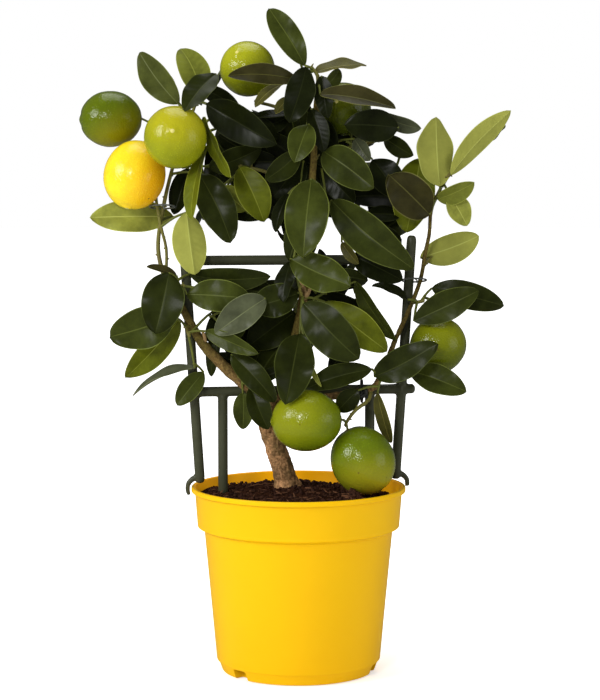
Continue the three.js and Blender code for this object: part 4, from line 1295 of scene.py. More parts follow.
@dataclass
class Bark:
    """The trunk and boughs in one skin of bark, with a flared root, knots and dried stubs."""

    flare: float = 1.4
    flare_high: float = 7.0
    thin: float = 0.78
    sunk: float = 3.0
    voxel: float = 0.75
    stubs: tuple[tuple[Place, Place, float], ...] = (
        ((4.5, 296, 12), (9, 303, 20), 1.7), ((4, 291, 12), (14, 289, 19), 1.5),
        ((5, 300, 11), (1, 309, 18), 1.4), ((5.5, 293, 12), (12, 283, 18), 1.2),
        ((-74, 262, 16), (-76, 270, 21), 1.3), ((-20, 203, 12), (-25, 197, 18), 1.6),
        ((-14, 186, 10), (-10, 190, 15), 1.5), ((8, 345, 10), (3, 350, 15), 1.2),
    )

    def add_limbs(self, bm: BMesh) -> None:
        """Adds the smooth limbs to a mesh, with the foot of the trunk sunk into the soil.

        Args:
            bm: The mesh that takes them.
        """
        for name, limb in LIMBS.items():
            points = [place(seen) for seen in limb.places]
            radii = limb.radii
            if name == "trunk":
                points[0] = points[0] - Vector((0, 0, self.sunk))
                radii = (radii[0] + self.flare, *radii[1:])
            if name == "right_upper":
                points = [place(LIMBS["right"].places[-1]) - Vector((3, 0, 0.6)), *points]
                shares = [blend(1.0, self.thin, min(at / 3, 1)) for at in range(len(radii))]
                slim = [radius * share for radius, share in zip(radii, shares)]
                radii = (LIMBS["right"].radii[-1], *slim)
            add_tube(bm, Route(points), radii, 20, 6)

    def depth(self, point: Vector) -> float:
        """Works out the height of the bark's relief.

        Args:
            point: A point of the bark, in millimetres.

        Returns:
            The height, in millimetres.
        """
        age = min(max((330 - point.z) / 170, 0.12), 1.0)
        furrow = noise.fractal(Vector((point.x * 0.3, point.y * 0.3, point.z * 0.13)), 0.7, 2.3, 5)
        lumps = noise.noise(point * 0.11)
        foot = max(0.0, 1 - (point.z - 145) / self.flare_high)
        root = foot * 1.6 * noise.noise(Vector((point.x * 0.16, point.y * 0.16, 3.0)))
        fissure = min(0.0, noise.noise(Vector((point.x * 0.6, point.y * 0.6, point.z * 0.3))) + 0.15)
        return age * (0.8 * furrow + 0.8 * lumps + 1.4 * fissure) + root

    def stub_relief(self, along: float, angle: float) -> float:
        """Returns what is added to a stub's radius, by the share along and the angle round."""
        return 0.22 * noise.noise(Vector((along * 9, math.cos(angle), 2.0)))

    def build(self) -> list[Object]:
        """Grows the bark over the limbs, with the dried stubs on it.

        Returns:
            The two pieces.
        """
        bm = bmesh.new()
        self.add_limbs(bm)
        bmesh.ops.recalc_face_normals(bm, faces=bm.faces[:])
        nodes = ("trunk", "bough_left", "bough_right", "bough_right_upper")
        piece = new_piece(bm, "bark_limbs", [BARK.material()], nodes)
        moulded(piece, self.voxel, rounds=4)
        carved(piece, self.depth)
        bm = bmesh.new()
        for start, end, radius in self.stubs:
            ends = [place(start), place(end)]
            middle = (ends[0] + ends[1]) / 2 + Vector((0.6, 0, 0.5))
            add_tube(
                bm, Route([ends[0], middle, ends[1]]), (radius * 1.3, radius, radius * 0.75), 10, 4,
                relief=self.stub_relief,
            )
        bmesh.ops.recalc_face_normals(bm, faces=bm.faces[:])
        return [piece, new_piece(bm, "dried_stubs", [DRY_WOOD.material()])]


# What grows on the limbs

class Leaf(NamedTuple):
    """A leaf as the viewer sees it, with its tone and how far its upper face is turned away."""

    foot_across: float
    foot_up: float
    tip_across: float
    tip_up: float
    wide: float
    foot_near: float
    tip_near: float
    roll: float
    tone: Tone

    def along(self, share: float, near: float) -> Vector:
        """Returns the point that is seen a share of the way along the leaf, at a nearness."""
        across = blend(self.foot_across, self.tip_across, share)
        return place((across, blend(self.foot_up, self.tip_up, share), near))


class FruitPlan(NamedTuple):
    """A fruit: middle, length, girth, direction to its stalk, colours, and the side where ripening and
    painted light turn its colour.
    """

    centre: Place
    length: float
    girth: float
    stalk: Triple
    colour: Colour
    ripe_and_light: Colour
    towards: Triple


@dataclass(frozen=True)
class MassPlan:
    """A mass of foliage: its stem, side twigs, listed leaves and fruit, and its fill.

    Attributes:
        name: The name of the mass, and of its node after foliage_.
        seed: What its random numbers follow from.
        limb: The limb that it grows from.
        stem: The places of its stem.
        leaves: The leaves that the viewer sees.
        fruits: Its fruit.
        twigs: Further twigs beside the stem.
        fill: How many leaves stand behind, and between which depths.
        scraps: Lesser leaves, of which the viewer sees a scrap.
    """

    name: str
    seed: int
    limb: str
    stem: tuple[Place, ...]
    leaves: tuple[Leaf, ...] = ()
    fruits: tuple[FruitPlan, ...] = ()
    twigs: tuple[tuple[Place, ...], ...] = ()
    fill: tuple[int, float, float] = (0, 0.0, 0.0)
    scraps: tuple[Leaf, ...] = ()


DEEP_SHADE, DARK, MID, FRESH = Tone.DEEP_SHADE, Tone.DARK, Tone.MID, Tone.FRESH
LIME, PALE, KHAKI = Tone.LIME, Tone.PALE, Tone.KHAKI
BRONZE, SHEEN_GREY, SAGE, MOSS = Tone.BRONZE, Tone.SHEEN_GREY, Tone.SAGE, Tone.MOSS

# In each fruit's row the second colour and the direction after it paint light as well as ripening: most
# fruit are paler on the side facing up towards the lamps, a painted lit side.
MASSES = (
    MassPlan(
        "fruit_spray", 11, "right",
        ((57, 223.5, 3.5), (55.5, 215.5, 9), (46, 208, 16), (39.5, 200, 22), (37, 195, 26)),
        fruits=(
            FruitPlan((6.5, 199, 31), 55, 48, (1, 0.04, 0.05),
                      (0.14, 0.185, 0.004), (0.21, 0.23, 0.006), (-0.5, -0.6, 0.4)),
            FruitPlan((51, 167, 26), 55, 50, (-0.45, 0.9, -0.05),
                      (0.115, 0.16, 0.004), (0.26, 0.25, 0.01), (0.2, -0.5, -1.0)),
        ),
    ),
    MassPlan(
        "left_crown", 23, "left",
        (
            (-105.5, 312, 9), (-110, 330, 5), (-110, 345, 4), (-106, 368, 4), (-103, 382, 0),
            (-97, 404, -9), (-88, 428, -10), (-81, 447, -3), (-79, 455, 3),
        ),
        twigs=(((-104, 318, 8), (-104, 335, 8), (-108, 352, 11), (-111, 368, 9), (-112, 378, 4)),),
        fruits=(
            # Paler and yellower towards the yellow fruit below it, partly a painted reflection of that
            # fruit.
            FruitPlan((-146.7, 436.5, -13), 49, 44, (1, 0.03, -0.15),
                      (0.09, 0.125, 0.003), (0.19, 0.18, 0.003), (0.5, -0.3, -0.8)),
            FruitPlan((-96.3, 422.3, 41), 50, 48, (0.03, -0.18, -1),
                      (0.25, 0.27, 0.006), (0.38, 0.35, 0.010), (0.1, -0.5, 0.9)),
            # Deeper orange on the right, away from the lamps: partly ripening and partly painted shade.
            FruitPlan((-128.4, 393, 9), 55, 48, (0.2, 0.95, -0.3),
                      (0.93, 0.68, 0.02), (0.82, 0.40, 0.004), (1, -0.2, -0.3)),
        ),
        leaves=(
            Leaf(-94, 448, -124, 488, 24, -6, -20, -12, SAGE),
            Leaf(-76, 457, -92, 491, 25, -6, -16, 20, FRESH),
            Leaf(-64.5, 471.5, -89, 442.5, 21, 22, 54, 24, DARK),
            Leaf(-76, 461, -46, 446, 14, -6, -2, 10, DEEP_SHADE),
            Leaf(-86, 453, -57, 482, 20, -14, -38, 78, SHEEN_GREY), Leaf(-72, 448, -17, 417, 29, 8, 30, 12, DEEP_SHADE),
            Leaf(-74, 438, -53, 391, 17, 22, 40, 62, LIME), Leaf(-72, 415, -84, 358, 20, 24, 38, 58, LIME),
            Leaf(-88, 363.5, -82, 314.5, 27, 17, 26, 172, PALE),
            Leaf(-98, 360, -164, 359.5, 27, -12, -2, 8, PALE),
            Leaf(-78, 394, -53, 340, 28, 4, 18, -6, DARK), Leaf(-70, 399, -29, 414, 22, -24, -14, 15, DARK),
            Leaf(-86, 398, -98, 362, 18, -16, -8, 12, DEEP_SHADE),
        ),
        fill=(8, -26, -66),
    ),
    MassPlan(
        "centre_front", 37, "trunk", ((3.5, 293, 8), (3, 297, 15), (1, 303, 24)),
        leaves=(
            Leaf(1, 268, -10, 212, 32, 22, 50, -8, DARK), Leaf(4, 292, 48, 248, 33, 24, 38, 10, DARK),
            Leaf(-6, 327, 41, 306, 28, 26, 42, -10, MID), Leaf(10, 390, 4, 328, 34, 22, 40, 4, MID),
            Leaf(0, 300, -38, 289, 26, 20, 24, 10, DARK), Leaf(-6, 325, -12, 293, 16, 14, 26, 30, DEEP_SHADE),
            Leaf(21, 293, 70, 254, 27, 10, 16, -14, LIME), Leaf(8, 246, 18, 226, 4, 28, 34, 20, PALE),
            Leaf(45, 309, 77, 263, 15, 4, 4, 32, MID),
        ),
    ),
    MassPlan(
        "top", 41, "trunk", ((15, 461, 8), (15, 470, 9), (10, 477, 11)),
        leaves=(
            Leaf(5, 478, -23, 522, 20.5, 4, -8, 10, MID), Leaf(6, 477, -7, 434, 23, 16, 30, -12, DEEP_SHADE),
            Leaf(-1, 467, -55, 470, 17, 18, 38, 24, BRONZE), Leaf(13, 473, 53, 478, 20, 6, -6, -66, KHAKI),
            Leaf(21, 461, 32, 475, 13, 2, -6, 30, MID), Leaf(17, 456, 76, 445, 20, 22, 36, -44, BRONZE),
            Leaf(-14, 463, -34, 446, 10, 12, 22, 40, KHAKI),
        ),
        fill=(4, -14, -46),
    ),
    MassPlan(
        "upper_left", 53, "trunk", ((13, 432, 8), (0, 438, -8), (-18, 446, -22), (-34, 450, -30)),
        fruits=(
            FruitPlan((-39.7, 475.2, -8), 44, 43, (0.35, -0.55, -0.75), (0.15, 0.17, 0.004),
                      (0.34, 0.35, 0.010), (-0.4, -0.3, 0.8)),
        ),
        leaves=(
            Leaf(8, 432, -3, 403, 22, 18, 30, 8, MID), Leaf(-6, 440, -38, 437, 14, -6, 2, 66, DEEP_SHADE),
            Leaf(-8, 453, -18, 441, 9, 6, 12, 30, KHAKI), Leaf(1, 411, -26, 389, 19, 12, 22, -10, DARK),
        ),
        fill=(6, -30, -78),
    ),
    MassPlan(
        "upper_right", 67, "trunk",
        ((13, 425, 8), (22, 416, -16), (40, 414, -34), (62, 420, -36), (74, 424, -24)),
        fruits=(
            # Its very dark green is partly painted shade deep in the crown, and its paler upper side a
            # painted lit side.
            FruitPlan((36, 444, -20), 43, 42, (0.3, -0.25, -0.9),
                      (0.05, 0.065, 0.004), (0.11, 0.13, 0.006), (-0.3, -0.4, 0.8)),
        ),
        leaves=(
            Leaf(78, 430, 36, 432, 26, 4, 14, -8, DEEP_SHADE), Leaf(63, 440, 96, 429, 16, -8, -2, 40, SHEEN_GREY),
            Leaf(67, 422, 90, 408, 15, -12, -6, 20, DARK), Leaf(20, 411, 59, 383, 28, 16, 36, 6, MOSS),
            Leaf(58, 405, 80, 376, 26, -10, -2, -14, DEEP_SHADE), Leaf(44, 421, 56, 404, 13, -4, 2, 14, SHEEN_GREY),
            Leaf(15, 437, 30, 414, 16, -8, -2, 10, DEEP_SHADE),
        ),
        scraps=(
            Leaf(18, 470, 23, 437, 15, 12, 17, 10, DEEP_SHADE), Leaf(10, 444, 20, 411, 16, 12, 17, -8, DEEP_SHADE),
        ),
        fill=(8, -40, -84),
    ),
    MassPlan(
        "middle_left", 71, "trunk", ((10.5, 382, 8), (-6, 388, -2), (-28, 396, -10), (-46, 400, -14)),
        leaves=(
            Leaf(-46, 399, -27, 356, 27, 0, 4, -10, LIME), Leaf(-61, 383, -41, 365, 18, -10, -8, 10, FRESH),
            Leaf(4, 404, -20, 375, 26, -4, 0, 8, DEEP_SHADE), Leaf(-8, 378, -18, 348, 11, 4, 8, 20, DEEP_SHADE),
        ),
        fill=(8, -26, -88),
    ),
    MassPlan(
        "middle_right", 83, "trunk",
        ((9, 360, 8), (22, 366, 8), (34, 366, 4), (50, 358, -8), (60, 350, -20)),
        leaves=(
            Leaf(26, 373, 91, 319, 32, 16, 34, 8, MOSS), Leaf(42, 330, 82, 310, 22, 0, 6, -10, DEEP_SHADE),
            Leaf(34, 340, 47, 323, 9, 6, 10, 20, KHAKI), Leaf(18, 398, 44, 371, 20, -4, 4, 8, DEEP_SHADE),
        ),
        fill=(9, -30, -90),
    ),
    MassPlan(
        "right_crown", 97, "right_upper", ((112, 383.5, -8), (116, 390, -8), (121, 396, -10)),
        leaves=(
            Leaf(110.5, 384, 107.5, 438, 31, -2, -8, -158, PALE),
            Leaf(119.5, 393, 166, 443, 19, -8, -16, -160, PALE),
            Leaf(109, 374, 138, 387, 19, 0, 8, 36, FRESH),
            Leaf(118.5, 377, 132.5, 353, 19, -4, 0, -20, PALE),
            Leaf(103, 362, 71, 393, 33, 2, 16, -6, BRONZE), Leaf(95, 406, 85, 348, 34, -26, -18, 8, LIME),
        ),
        fill=(7, -36, -70),
    ),
    MassPlan(
        "right_side", 101, "right_upper", ((98.5, 322, -12), (102, 326, -18), (104, 328, -24)),
        leaves=(
            Leaf(96, 328, 142, 345, 26, -22, -14, 168, PALE),
        ),
        fill=(5, -34, -60),
    ),
    MassPlan(
        "right_middle", 107, "right_upper", ((90, 293, -7), (94, 293, -2), (99, 294, 0)),
        leaves=(
            Leaf(105, 304, 162, 290, 23, -6, -4, -20, DARK), Leaf(91, 278, 142, 302, 24, 6, 12, -10, MOSS),
            Leaf(86, 295, 58, 306, 16, 6, 16, 64, DEEP_SHADE),
        ),
        fill=(4, -12, -50),
    ),
    MassPlan(
        "right_low", 113, "right_upper", ((66, 237, 2), (72, 238, 8), (80, 238, 10), (86, 238, 8)),
        fruits=(
            FruitPlan((110, 258.7, -6), 46, 44, (-0.55, -0.5, 0.25),
                      (0.085, 0.105, 0.003), (0.20, 0.22, 0.006), (0.2, -0.3, 0.9)),
        ),
        leaves=(
            Leaf(60, 234, 110, 260, 25, 18, 32, -8, DARK), Leaf(87, 239, 133, 222, 23, 10, 20, -12, MID),
            Leaf(58, 240, 5, 224, 19, 22, 22, 14, DARK), Leaf(47, 223, 31, 206.5, 17, 13, 10.5, -12, DARK),
            Leaf(62.5, 221, 73.5, 181, 12, 12, 6, 35, KHAKI),
        ),
        fill=(4, -12, -44),
    ),
    MassPlan(
        "left_side", 127, "left", ((-98, 301, 13), (-94, 305, 19), (-90, 306, 24)),
        leaves=(
            Leaf(-102, 316, -113, 268, 34, 22, 32, 6, DARK), Leaf(-86, 315, -22, 313, 20, 12, 22, 18, DARK),
            Leaf(-88, 299, -38, 296, 25, 24, 30, -8, MID),
            Leaf(-96, 314, -119.5, 321, 9, 16, 13, 50, BRONZE),
        ),
        fill=(4, 0, -44),
    ),
    MassPlan(
        "left_low", 139, "left", ((-84, 274, 16), (-88, 272, 22), (-86, 266, 27)),
        leaves=(
            Leaf(-99, 281, -149, 265.5, 33, 20, 17, -8, MID),
            Leaf(-94, 279.5, -137, 233, 24, 14, 0, -24, LIME),
            Leaf(-82, 241, -131, 219, 20, 19, 8, 74, SHEEN_GREY), Leaf(-75, 237.5, -96, 211, 17, 12, 20, 10, MID),
            Leaf(-73, 270, -32, 252, 14, 26, 44, 16, MID), Leaf(-26, 296, -66, 268, 26, 31, 35, 10, SHEEN_GREY),
            Leaf(-60, 290, -72, 262, 16, 2, 6, -16, DEEP_SHADE),
        ),
        scraps=(
            Leaf(-63, 273, -69, 234, 11, 0, 3, 20, DARK),
        ),
        fill=(4, -20, -56),
    ),
    MassPlan(
        "low_middle", 149, "left", ((-48, 232.5, 11), (-46, 236, 18), (-44, 234, 22)),
        leaves=(
            Leaf(-53, 252, -18, 214, 19, 20, 28, -6, DARK), Leaf(-44, 221, -44, 192, 16, 14, 10, 10, MID),
            Leaf(-38, 226, -24, 192, 19, 20, 24, -8, DARK),
        ),
    ),
    MassPlan(
        "back_high", 151, "trunk",
        ((12.5, 408, 8), (14, 406, -10), (12, 412, -30), (4, 424, -52), (-4, 432, -62)),
        fill=(10, -48, -96),
    ),
    MassPlan(
        "back_low", 163, "trunk", ((5, 306, 8), (6, 308, -10), (2, 300, -34), (-10, 296, -54)),
        leaves=(
            Leaf(-3, 285, -40, 258, 30, -18, -12, 4, DARK), Leaf(14, 300, 70, 268, 24, -8, -6, 6, DEEP_SHADE),
        ),
        fill=(12, -26, -96),
    ),
)


@dataclass
class GrownLeaf:
    """A leaf in space: its foot and tip in millimetres, its width, turn, bow and tone.

    The roll is in degrees, the bow a share of its length, and behind says that it isn't a listed leaf.
    """

    foot: Vector
    tip: Vector
    wide: float
    roll: float
    bow: float
    tone: Tone
    seed: int = 0
    behind: bool = False

    def axes(self) -> tuple[Vector, Vector, Vector]:
        """Works out how the leaf lies.

        Returns:
            The directions along the leaf, across it, and out of its upper face.
        """
        along = (self.tip - self.foot).normalized()
        towards = (VIEWER - self.foot).normalized()
        face = (towards - along * towards.dot(along)).normalized()
        face.rotate(Quaternion(along, math.radians(self.roll)))
        return along, along.cross(face), face


class Blade:
    """The flat blade that every leaf is bent from, a closed plate with a midrib and margin."""

    UPPER, UNDER, RIB, MARGIN = 0, 1, 2, 3
    MARGIN_AT = 0.958
    THIN_TONES = (Tone.PALE, Tone.FRESH, Tone.LIME)
    RELIEF = 0.12
    PALE_RELIEF = 0.26

    def __init__(self, along: int, across: int) -> None:
        """Makes the flat plate and keeps where its vertices lie.

        Args:
            along: How many faces lie along the blade.
            across: How many lie across it, an odd number so that the middle one is the midrib.
        """
        bm = bmesh.new()
        bmesh.ops.create_grid(bm, x_segments=along, y_segments=across, size=1.0)
        bmesh.ops.solidify(bm, geom=bm.faces[:], thickness=0.1)
        bmesh.ops.recalc_face_normals(bm, faces=bm.faces[:])
        for face in bm.faces:
            middle = face.calc_center_median()
            if abs(middle.y) < 0.5 / across and abs(face.normal.z) > 0.5:
                face.material_index = self.RIB
            # Edge faces take the pale margin colour, partly the leaf's own paler edge and partly a painted
            # rim highlight.
            elif abs(middle.y) > 1 - 1.5 / across:
                face.material_index = self.MARGIN
            else:
                face.material_index = self.UPPER if face.normal.z > 0.5 else self.UNDER
        self.mesh = as_mesh(bm, "blade")
        places = np.zeros(len(self.mesh.vertices) * 3, np.float32)
        self.mesh.vertices.foreach_get("co", places)
        places = places.reshape(-1, 3)
        self.share = np.clip((places[:, 0] + 1) / 2, 0, 1)
        aside = np.abs(np.clip(places[:, 1], -1, 1))
        inner = 1 - 2 / across
        within = self.MARGIN_AT * np.clip(aside / inner, 0, 1) ** 1.35
        self.side = np.sign(places[:, 1]) * np.where(aside > inner + 0.01, 1.0, within)
        level = places[:, 2]
        self.layer = np.where(level > (level.min() + level.max()) / 2, 0.5, -0.5)
        self.kinds = np.zeros(len(self.mesh.polygons), np.int32)
        self.mesh.polygons.foreach_get("material_index", self.kinds)

    def places(self, leaf: GrownLeaf) -> np.ndarray:
        """Bends the plate into a leaf.

        Args:
            leaf: The leaf.

        Returns:
            Where the plate's vertices lie.
        """
        random = Dice(leaf.seed * 7919 + 17)
        along, across, face = (np.array(axis) for axis in leaf.axes())
        length = (leaf.tip - leaf.foot).length
        share, side = self.share, self.side
        wing = np.abs(side)
        skew = random.between(0.86, 1.02)
        round_foot = random.between(0.68, 0.84)
        round_tip = random.between(0.56, 0.72)
        bulge = share ** skew
        roundness = round_foot + (round_tip - round_foot) * share
        fullness = (4 * bulge * (1 - bulge)).clip(0, 1) ** roundness
        half = leaf.wide / 2 * fullness + 0.35 * (1 - share) + 0.15
        fold = math.radians(random.between(6, 22))
        spine = np.sqrt(wing ** 2 + 0.012) - 0.11
        rise = spine * half * math.sin(fold)
        rise += leaf.bow * length * 4 * share * (1 - share)
        wave = random.between(0.5, 1.7) * (leaf.wide / 26) ** 2
        turns = random.between(1.2, 2.6)
        phase = random.between(0, 6.3)
        rise += wave * wing ** 2 * np.sin(2 * math.pi * turns * share + phase + np.sign(side) * 1.4)
        rise -= 0.55 * np.exp(-((side * half) / 0.9) ** 2) * np.sqrt(1 - 0.8 * share)
        veins = np.cos(2 * math.pi * random.between(8, 10) * (share - 0.16 * wing))
        relief = self.PALE_RELIEF if leaf.tone in self.THIN_TONES else self.RELIEF
        rise += relief * veins * np.sin(math.pi * np.clip(wing, 0, 1)) * fullness
        twist = math.radians(random.between(-14, 14)) * (share - 0.5)
        wide = side * half * math.cos(fold)
        turned = wide * np.cos(twist) - rise * np.sin(twist)
        risen = wide * np.sin(twist) + rise * np.cos(twist)
        risen = risen + self.layer * (0.42 + 0.5 * np.exp(-((side * half) / 0.8) ** 2))
        sway = random.between(-0.03, 0.03) * length * np.sin(math.pi * share)
        foot = np.array(leaf.foot)
        return (
            foot + np.outer(share * length, along) + np.outer(turned + sway, across)
            + np.outer(risen, face)
        )

    def add(self, bm: BMesh, leaf: GrownLeaf, tones: list[Tone]) -> None:
        """Adds a leaf to a mesh whose materials are four for each tone.

        Args:
            bm: The mesh that takes the leaf.
            leaf: The leaf.
            tones: The tones of the mesh, in the order of its materials.
        """
        mesh = self.mesh.copy()
        mesh.vertices.foreach_set("co", self.places(leaf).astype(np.float32).ravel())
        kinds = self.kinds + 4 * tones.index(leaf.tone)
        mesh.polygons.foreach_set("material_index", kinds.astype(np.int32))
        bm.from_mesh(mesh)
        bpy.data.meshes.remove(mesh)


@dataclass
class GrownFruit:
    """A fruit in space, with dimpled peel, a nipple at its blossom end and a calyx at its stalk."""

    plan: FruitPlan
    name: str
    around: int = 72
    rows: int = 48
    seed: int = 1

    def __post_init__(self) -> None:
        """Works out its middle, its stalk's direction and where the stalk enters it."""
        across, up, near = self.plan.stalk
        self.centre = place(self.plan.centre)
        self.stalk = Vector((across, -near, up)).normalized()
        self.top = self.centre + self.stalk * (self.plan.length / 2 - 3)

    def skin(self, point: Vector) -> Vector:
        """Carries a point of a unit ball over to the peel, with +Z at the stalk.

        Args:
            point: The point of the ball.

        Returns:
            Where it lies on the peel, in millimetres from the fruit's middle.
        """
        high = point.z
        flank = math.sqrt(max(1 - high * high, 0))
        bump = 0.010 * noise.noise(point * 2.2 + Vector((self.seed * 3.1, 0, 0)))
        bump += 0.003 * noise.noise(point * 9 + Vector((0, self.seed * 1.7, 0)))
        waist = 1 - 0.02 * high
        radius = self.plan.girth / 2 * waist * (1 + bump)
        long = self.plan.length / 2 * (1 + bump)
        level = high * long
        level -= 1.3 * math.exp(-(flank / 0.16) ** 2) if high > 0 else 0
        if high < 0:
            level -= self.plan.length * 0.012 * math.exp(-(flank / 0.10) ** 2)
            level += 0.4 * math.exp(-((flank - 0.22) / 0.07) ** 2)
        return Vector((point.x * radius, point.y * radius, level))

    def build(self, node: str) -> Object:
        """Makes the fruit.

        Args:
            node: The node of the mass that it grows in.

        Returns:
            The piece.
        """
        bm = bmesh.new()
        bmesh.ops.create_uvsphere(bm, u_segments=self.around, v_segments=self.rows, radius=1.0)
        for vert in bm.verts:
            vert.co = self.skin(vert.co.normalized())
        # The blossom end takes the pale finish that is partly a painted highlight.
        ends = [face for face in bm.faces if face.calc_center_median().z < -self.plan.length * 0.508]
        for face in ends:
            face.material_index = 1
        self.add_calyx(bm)
        turn = Vector((0, 0, 1)).rotation_difference(self.stalk).to_matrix().to_4x4()
        bmesh.ops.transform(bm, matrix=Matrix.Translation(self.centre) @ turn, verts=bm.verts[:])
        bmesh.ops.recalc_face_normals(bm, faces=bm.faces[:])
        plan = self.plan
        tint = tuple(channel * 0.72 for channel in plan.colour)
        peel = Peel(
            f"peel_{self.name}", plan.colour, tint, amount=0.6, cloud=55, roughness=0.14, specular=0.3,
            pores=700, pit=0.2, glow=0.03, ripe_and_light=plan.ripe_and_light, towards=plan.towards,
            middle=tuple(self.centre), reach=plan.girth / 2,
            dot=tuple(min(channel * 1.9, 0.9) for channel in plan.colour),
        )
        materials = [peel.material(), NIPPLE_AND_HIGHLIGHT.material(), CALYX.material()]
        return new_piece(bm, f"fruit_{self.name}", materials, (node,), sharp=60)

    def add_calyx(self, bm: BMesh) -> None:
        """Adds the small five-lobed button where the stalk meets the peel.

        Args:
            bm: The mesh of the fruit, with +Z at its stalk.
        """
        shape = Matrix.Translation((0, 0, self.plan.length / 2 - 1.1))
        made = bmesh.ops.create_uvsphere(bm, u_segments=30, v_segments=8, radius=1.0, matrix=shape)["verts"]
        for vert in made:
            angle = math.atan2(vert.co.y, vert.co.x)
            lobe = 3.0 + 0.9 * math.cos(5 * angle)
            vert.co.x *= lobe
            vert.co.y *= lobe
        for face in {face for vert in made for face in vert.link_faces}:
            face.material_index = 2


class Window(NamedTuple):
    """A gap in the crown where the sky shows, as the viewer sees it."""

    left: float
    right: float
    low: float
    high: float

    def holds(self, across: float, up: float, margin: float) -> bool:
        """Tells whether a place lies within the window or a margin round it."""
        beside = self.left - margin < across < self.right + margin
        return beside and self.low - margin < up < self.high + margin


WINDOWS = (
    Window(-34, -6, 447, 462), Window(-50, -34, 447, 453), Window(12, 16, 446, 452),
    Window(55, 79, 399, 413), Window(40, 51, 378, 384), Window(-50, -20, 332, 352),
    Window(-72, -50, 332, 342), Window(92, 99, 345, 358), Window(25, 37, 330, 355),
    Window(-108, -98, 325, 350), Window(46, 52, 331, 334), Window(-38, -17, 314, 322),
    Window(-83, -79, 308, 312), Window(66, 81, 302, 310), Window(55, 80, 266, 305),
    Window(88, 100, 270, 306), Window(-82, -74, 271, 287), Window(50, 62, 247, 256),
    Window(-80, -73, 238, 253), Window(10, 18, 235, 250), Window(-76, -58, 228, 233),
    Window(61, 76, 226, 230), Window(-140, 140, 150, 224),
)


@dataclass(frozen=True)
class Habit:
    """How the foliage grows: the sizes, in millimetres, and the shares that its rule uses."""

    stem: float = 1.7
    spur: float = 1.15
    tip: float = 0.85
    swell: float = 1.05
    sag: float = 0.06
    back: float = 0.35
    least_share: float = 0.05
    aside: float = 0.5
    stem_steps: int = 2
    bow: float = 0.07
    least_bow: float = 0.4
    shortest: float = 36.0
    longest: float = 54.0
    slim: float = 0.4
    tries: int = 300
    cover: float = 0.95
    behind: float = 2.0
    rear: float = 94.0
    stalk: float = 34.0
    spread: float = 70.0
    rearward: float = 50.0
    rear_pull: float = 0.3
    roll: float = 90.0
    roll_spread: float = 70.0
    fine_share: float = 1.0
    fine_shortest: float = 30.0
    fine_longest: float = 46.0
    # The deep tone among these is painted shade for leaves inside the crown.
    fill_tones: tuple[Tone, ...] = (DEEP_SHADE, DARK, DEEP_SHADE, DARK, MID, DARK)
    backing_share: float = 1.1
    backing_along: Pair = (0.1, 0.7)
    backing_depth: Pair = (-6.0, -46.0)
    backing_lean: Pair = (-0.3, 0.6)
    backing_wide: Pair = (0.38, 0.48)
    backing_roll: float = 70.0
    backing_turn: float = 1.1
    backing_margin: float = 5.0
    # The deep tone among these is painted shade for leaves inside the crown.
    backing_tones: tuple[Tone, ...] = (DEEP_SHADE, DARK, DEEP_SHADE, DEEP_SHADE, DARK)
    drawn: tuple[float, ...] = (1.0, 0.9, 0.8, 0.7, 0.6, 0.5, 0.4)
    hidden_margin: float = -2.4
    core_centre: Pair = (2.0, 342.0)
    core_half: Pair = (80.0, 112.0)
    round_back: Triple = (100.0, 92.0, 118.0)
    chink_grid: float = 5.0
    chink_tries: int = 60
    chink_depth: Pair = (-62.0, -4.0)
    chink_lean: Pair = (-0.3, 0.3)
    chink_wide: float = 0.46
    buds: int = 2
    bud_turn: float = 2.4
    window_margin: float = 2.5
    fill_kind: int = 50
    backing_kind: int = 500
    chink_kind: int = 700
    scrap_kind: int = 900


HABIT = Habit()


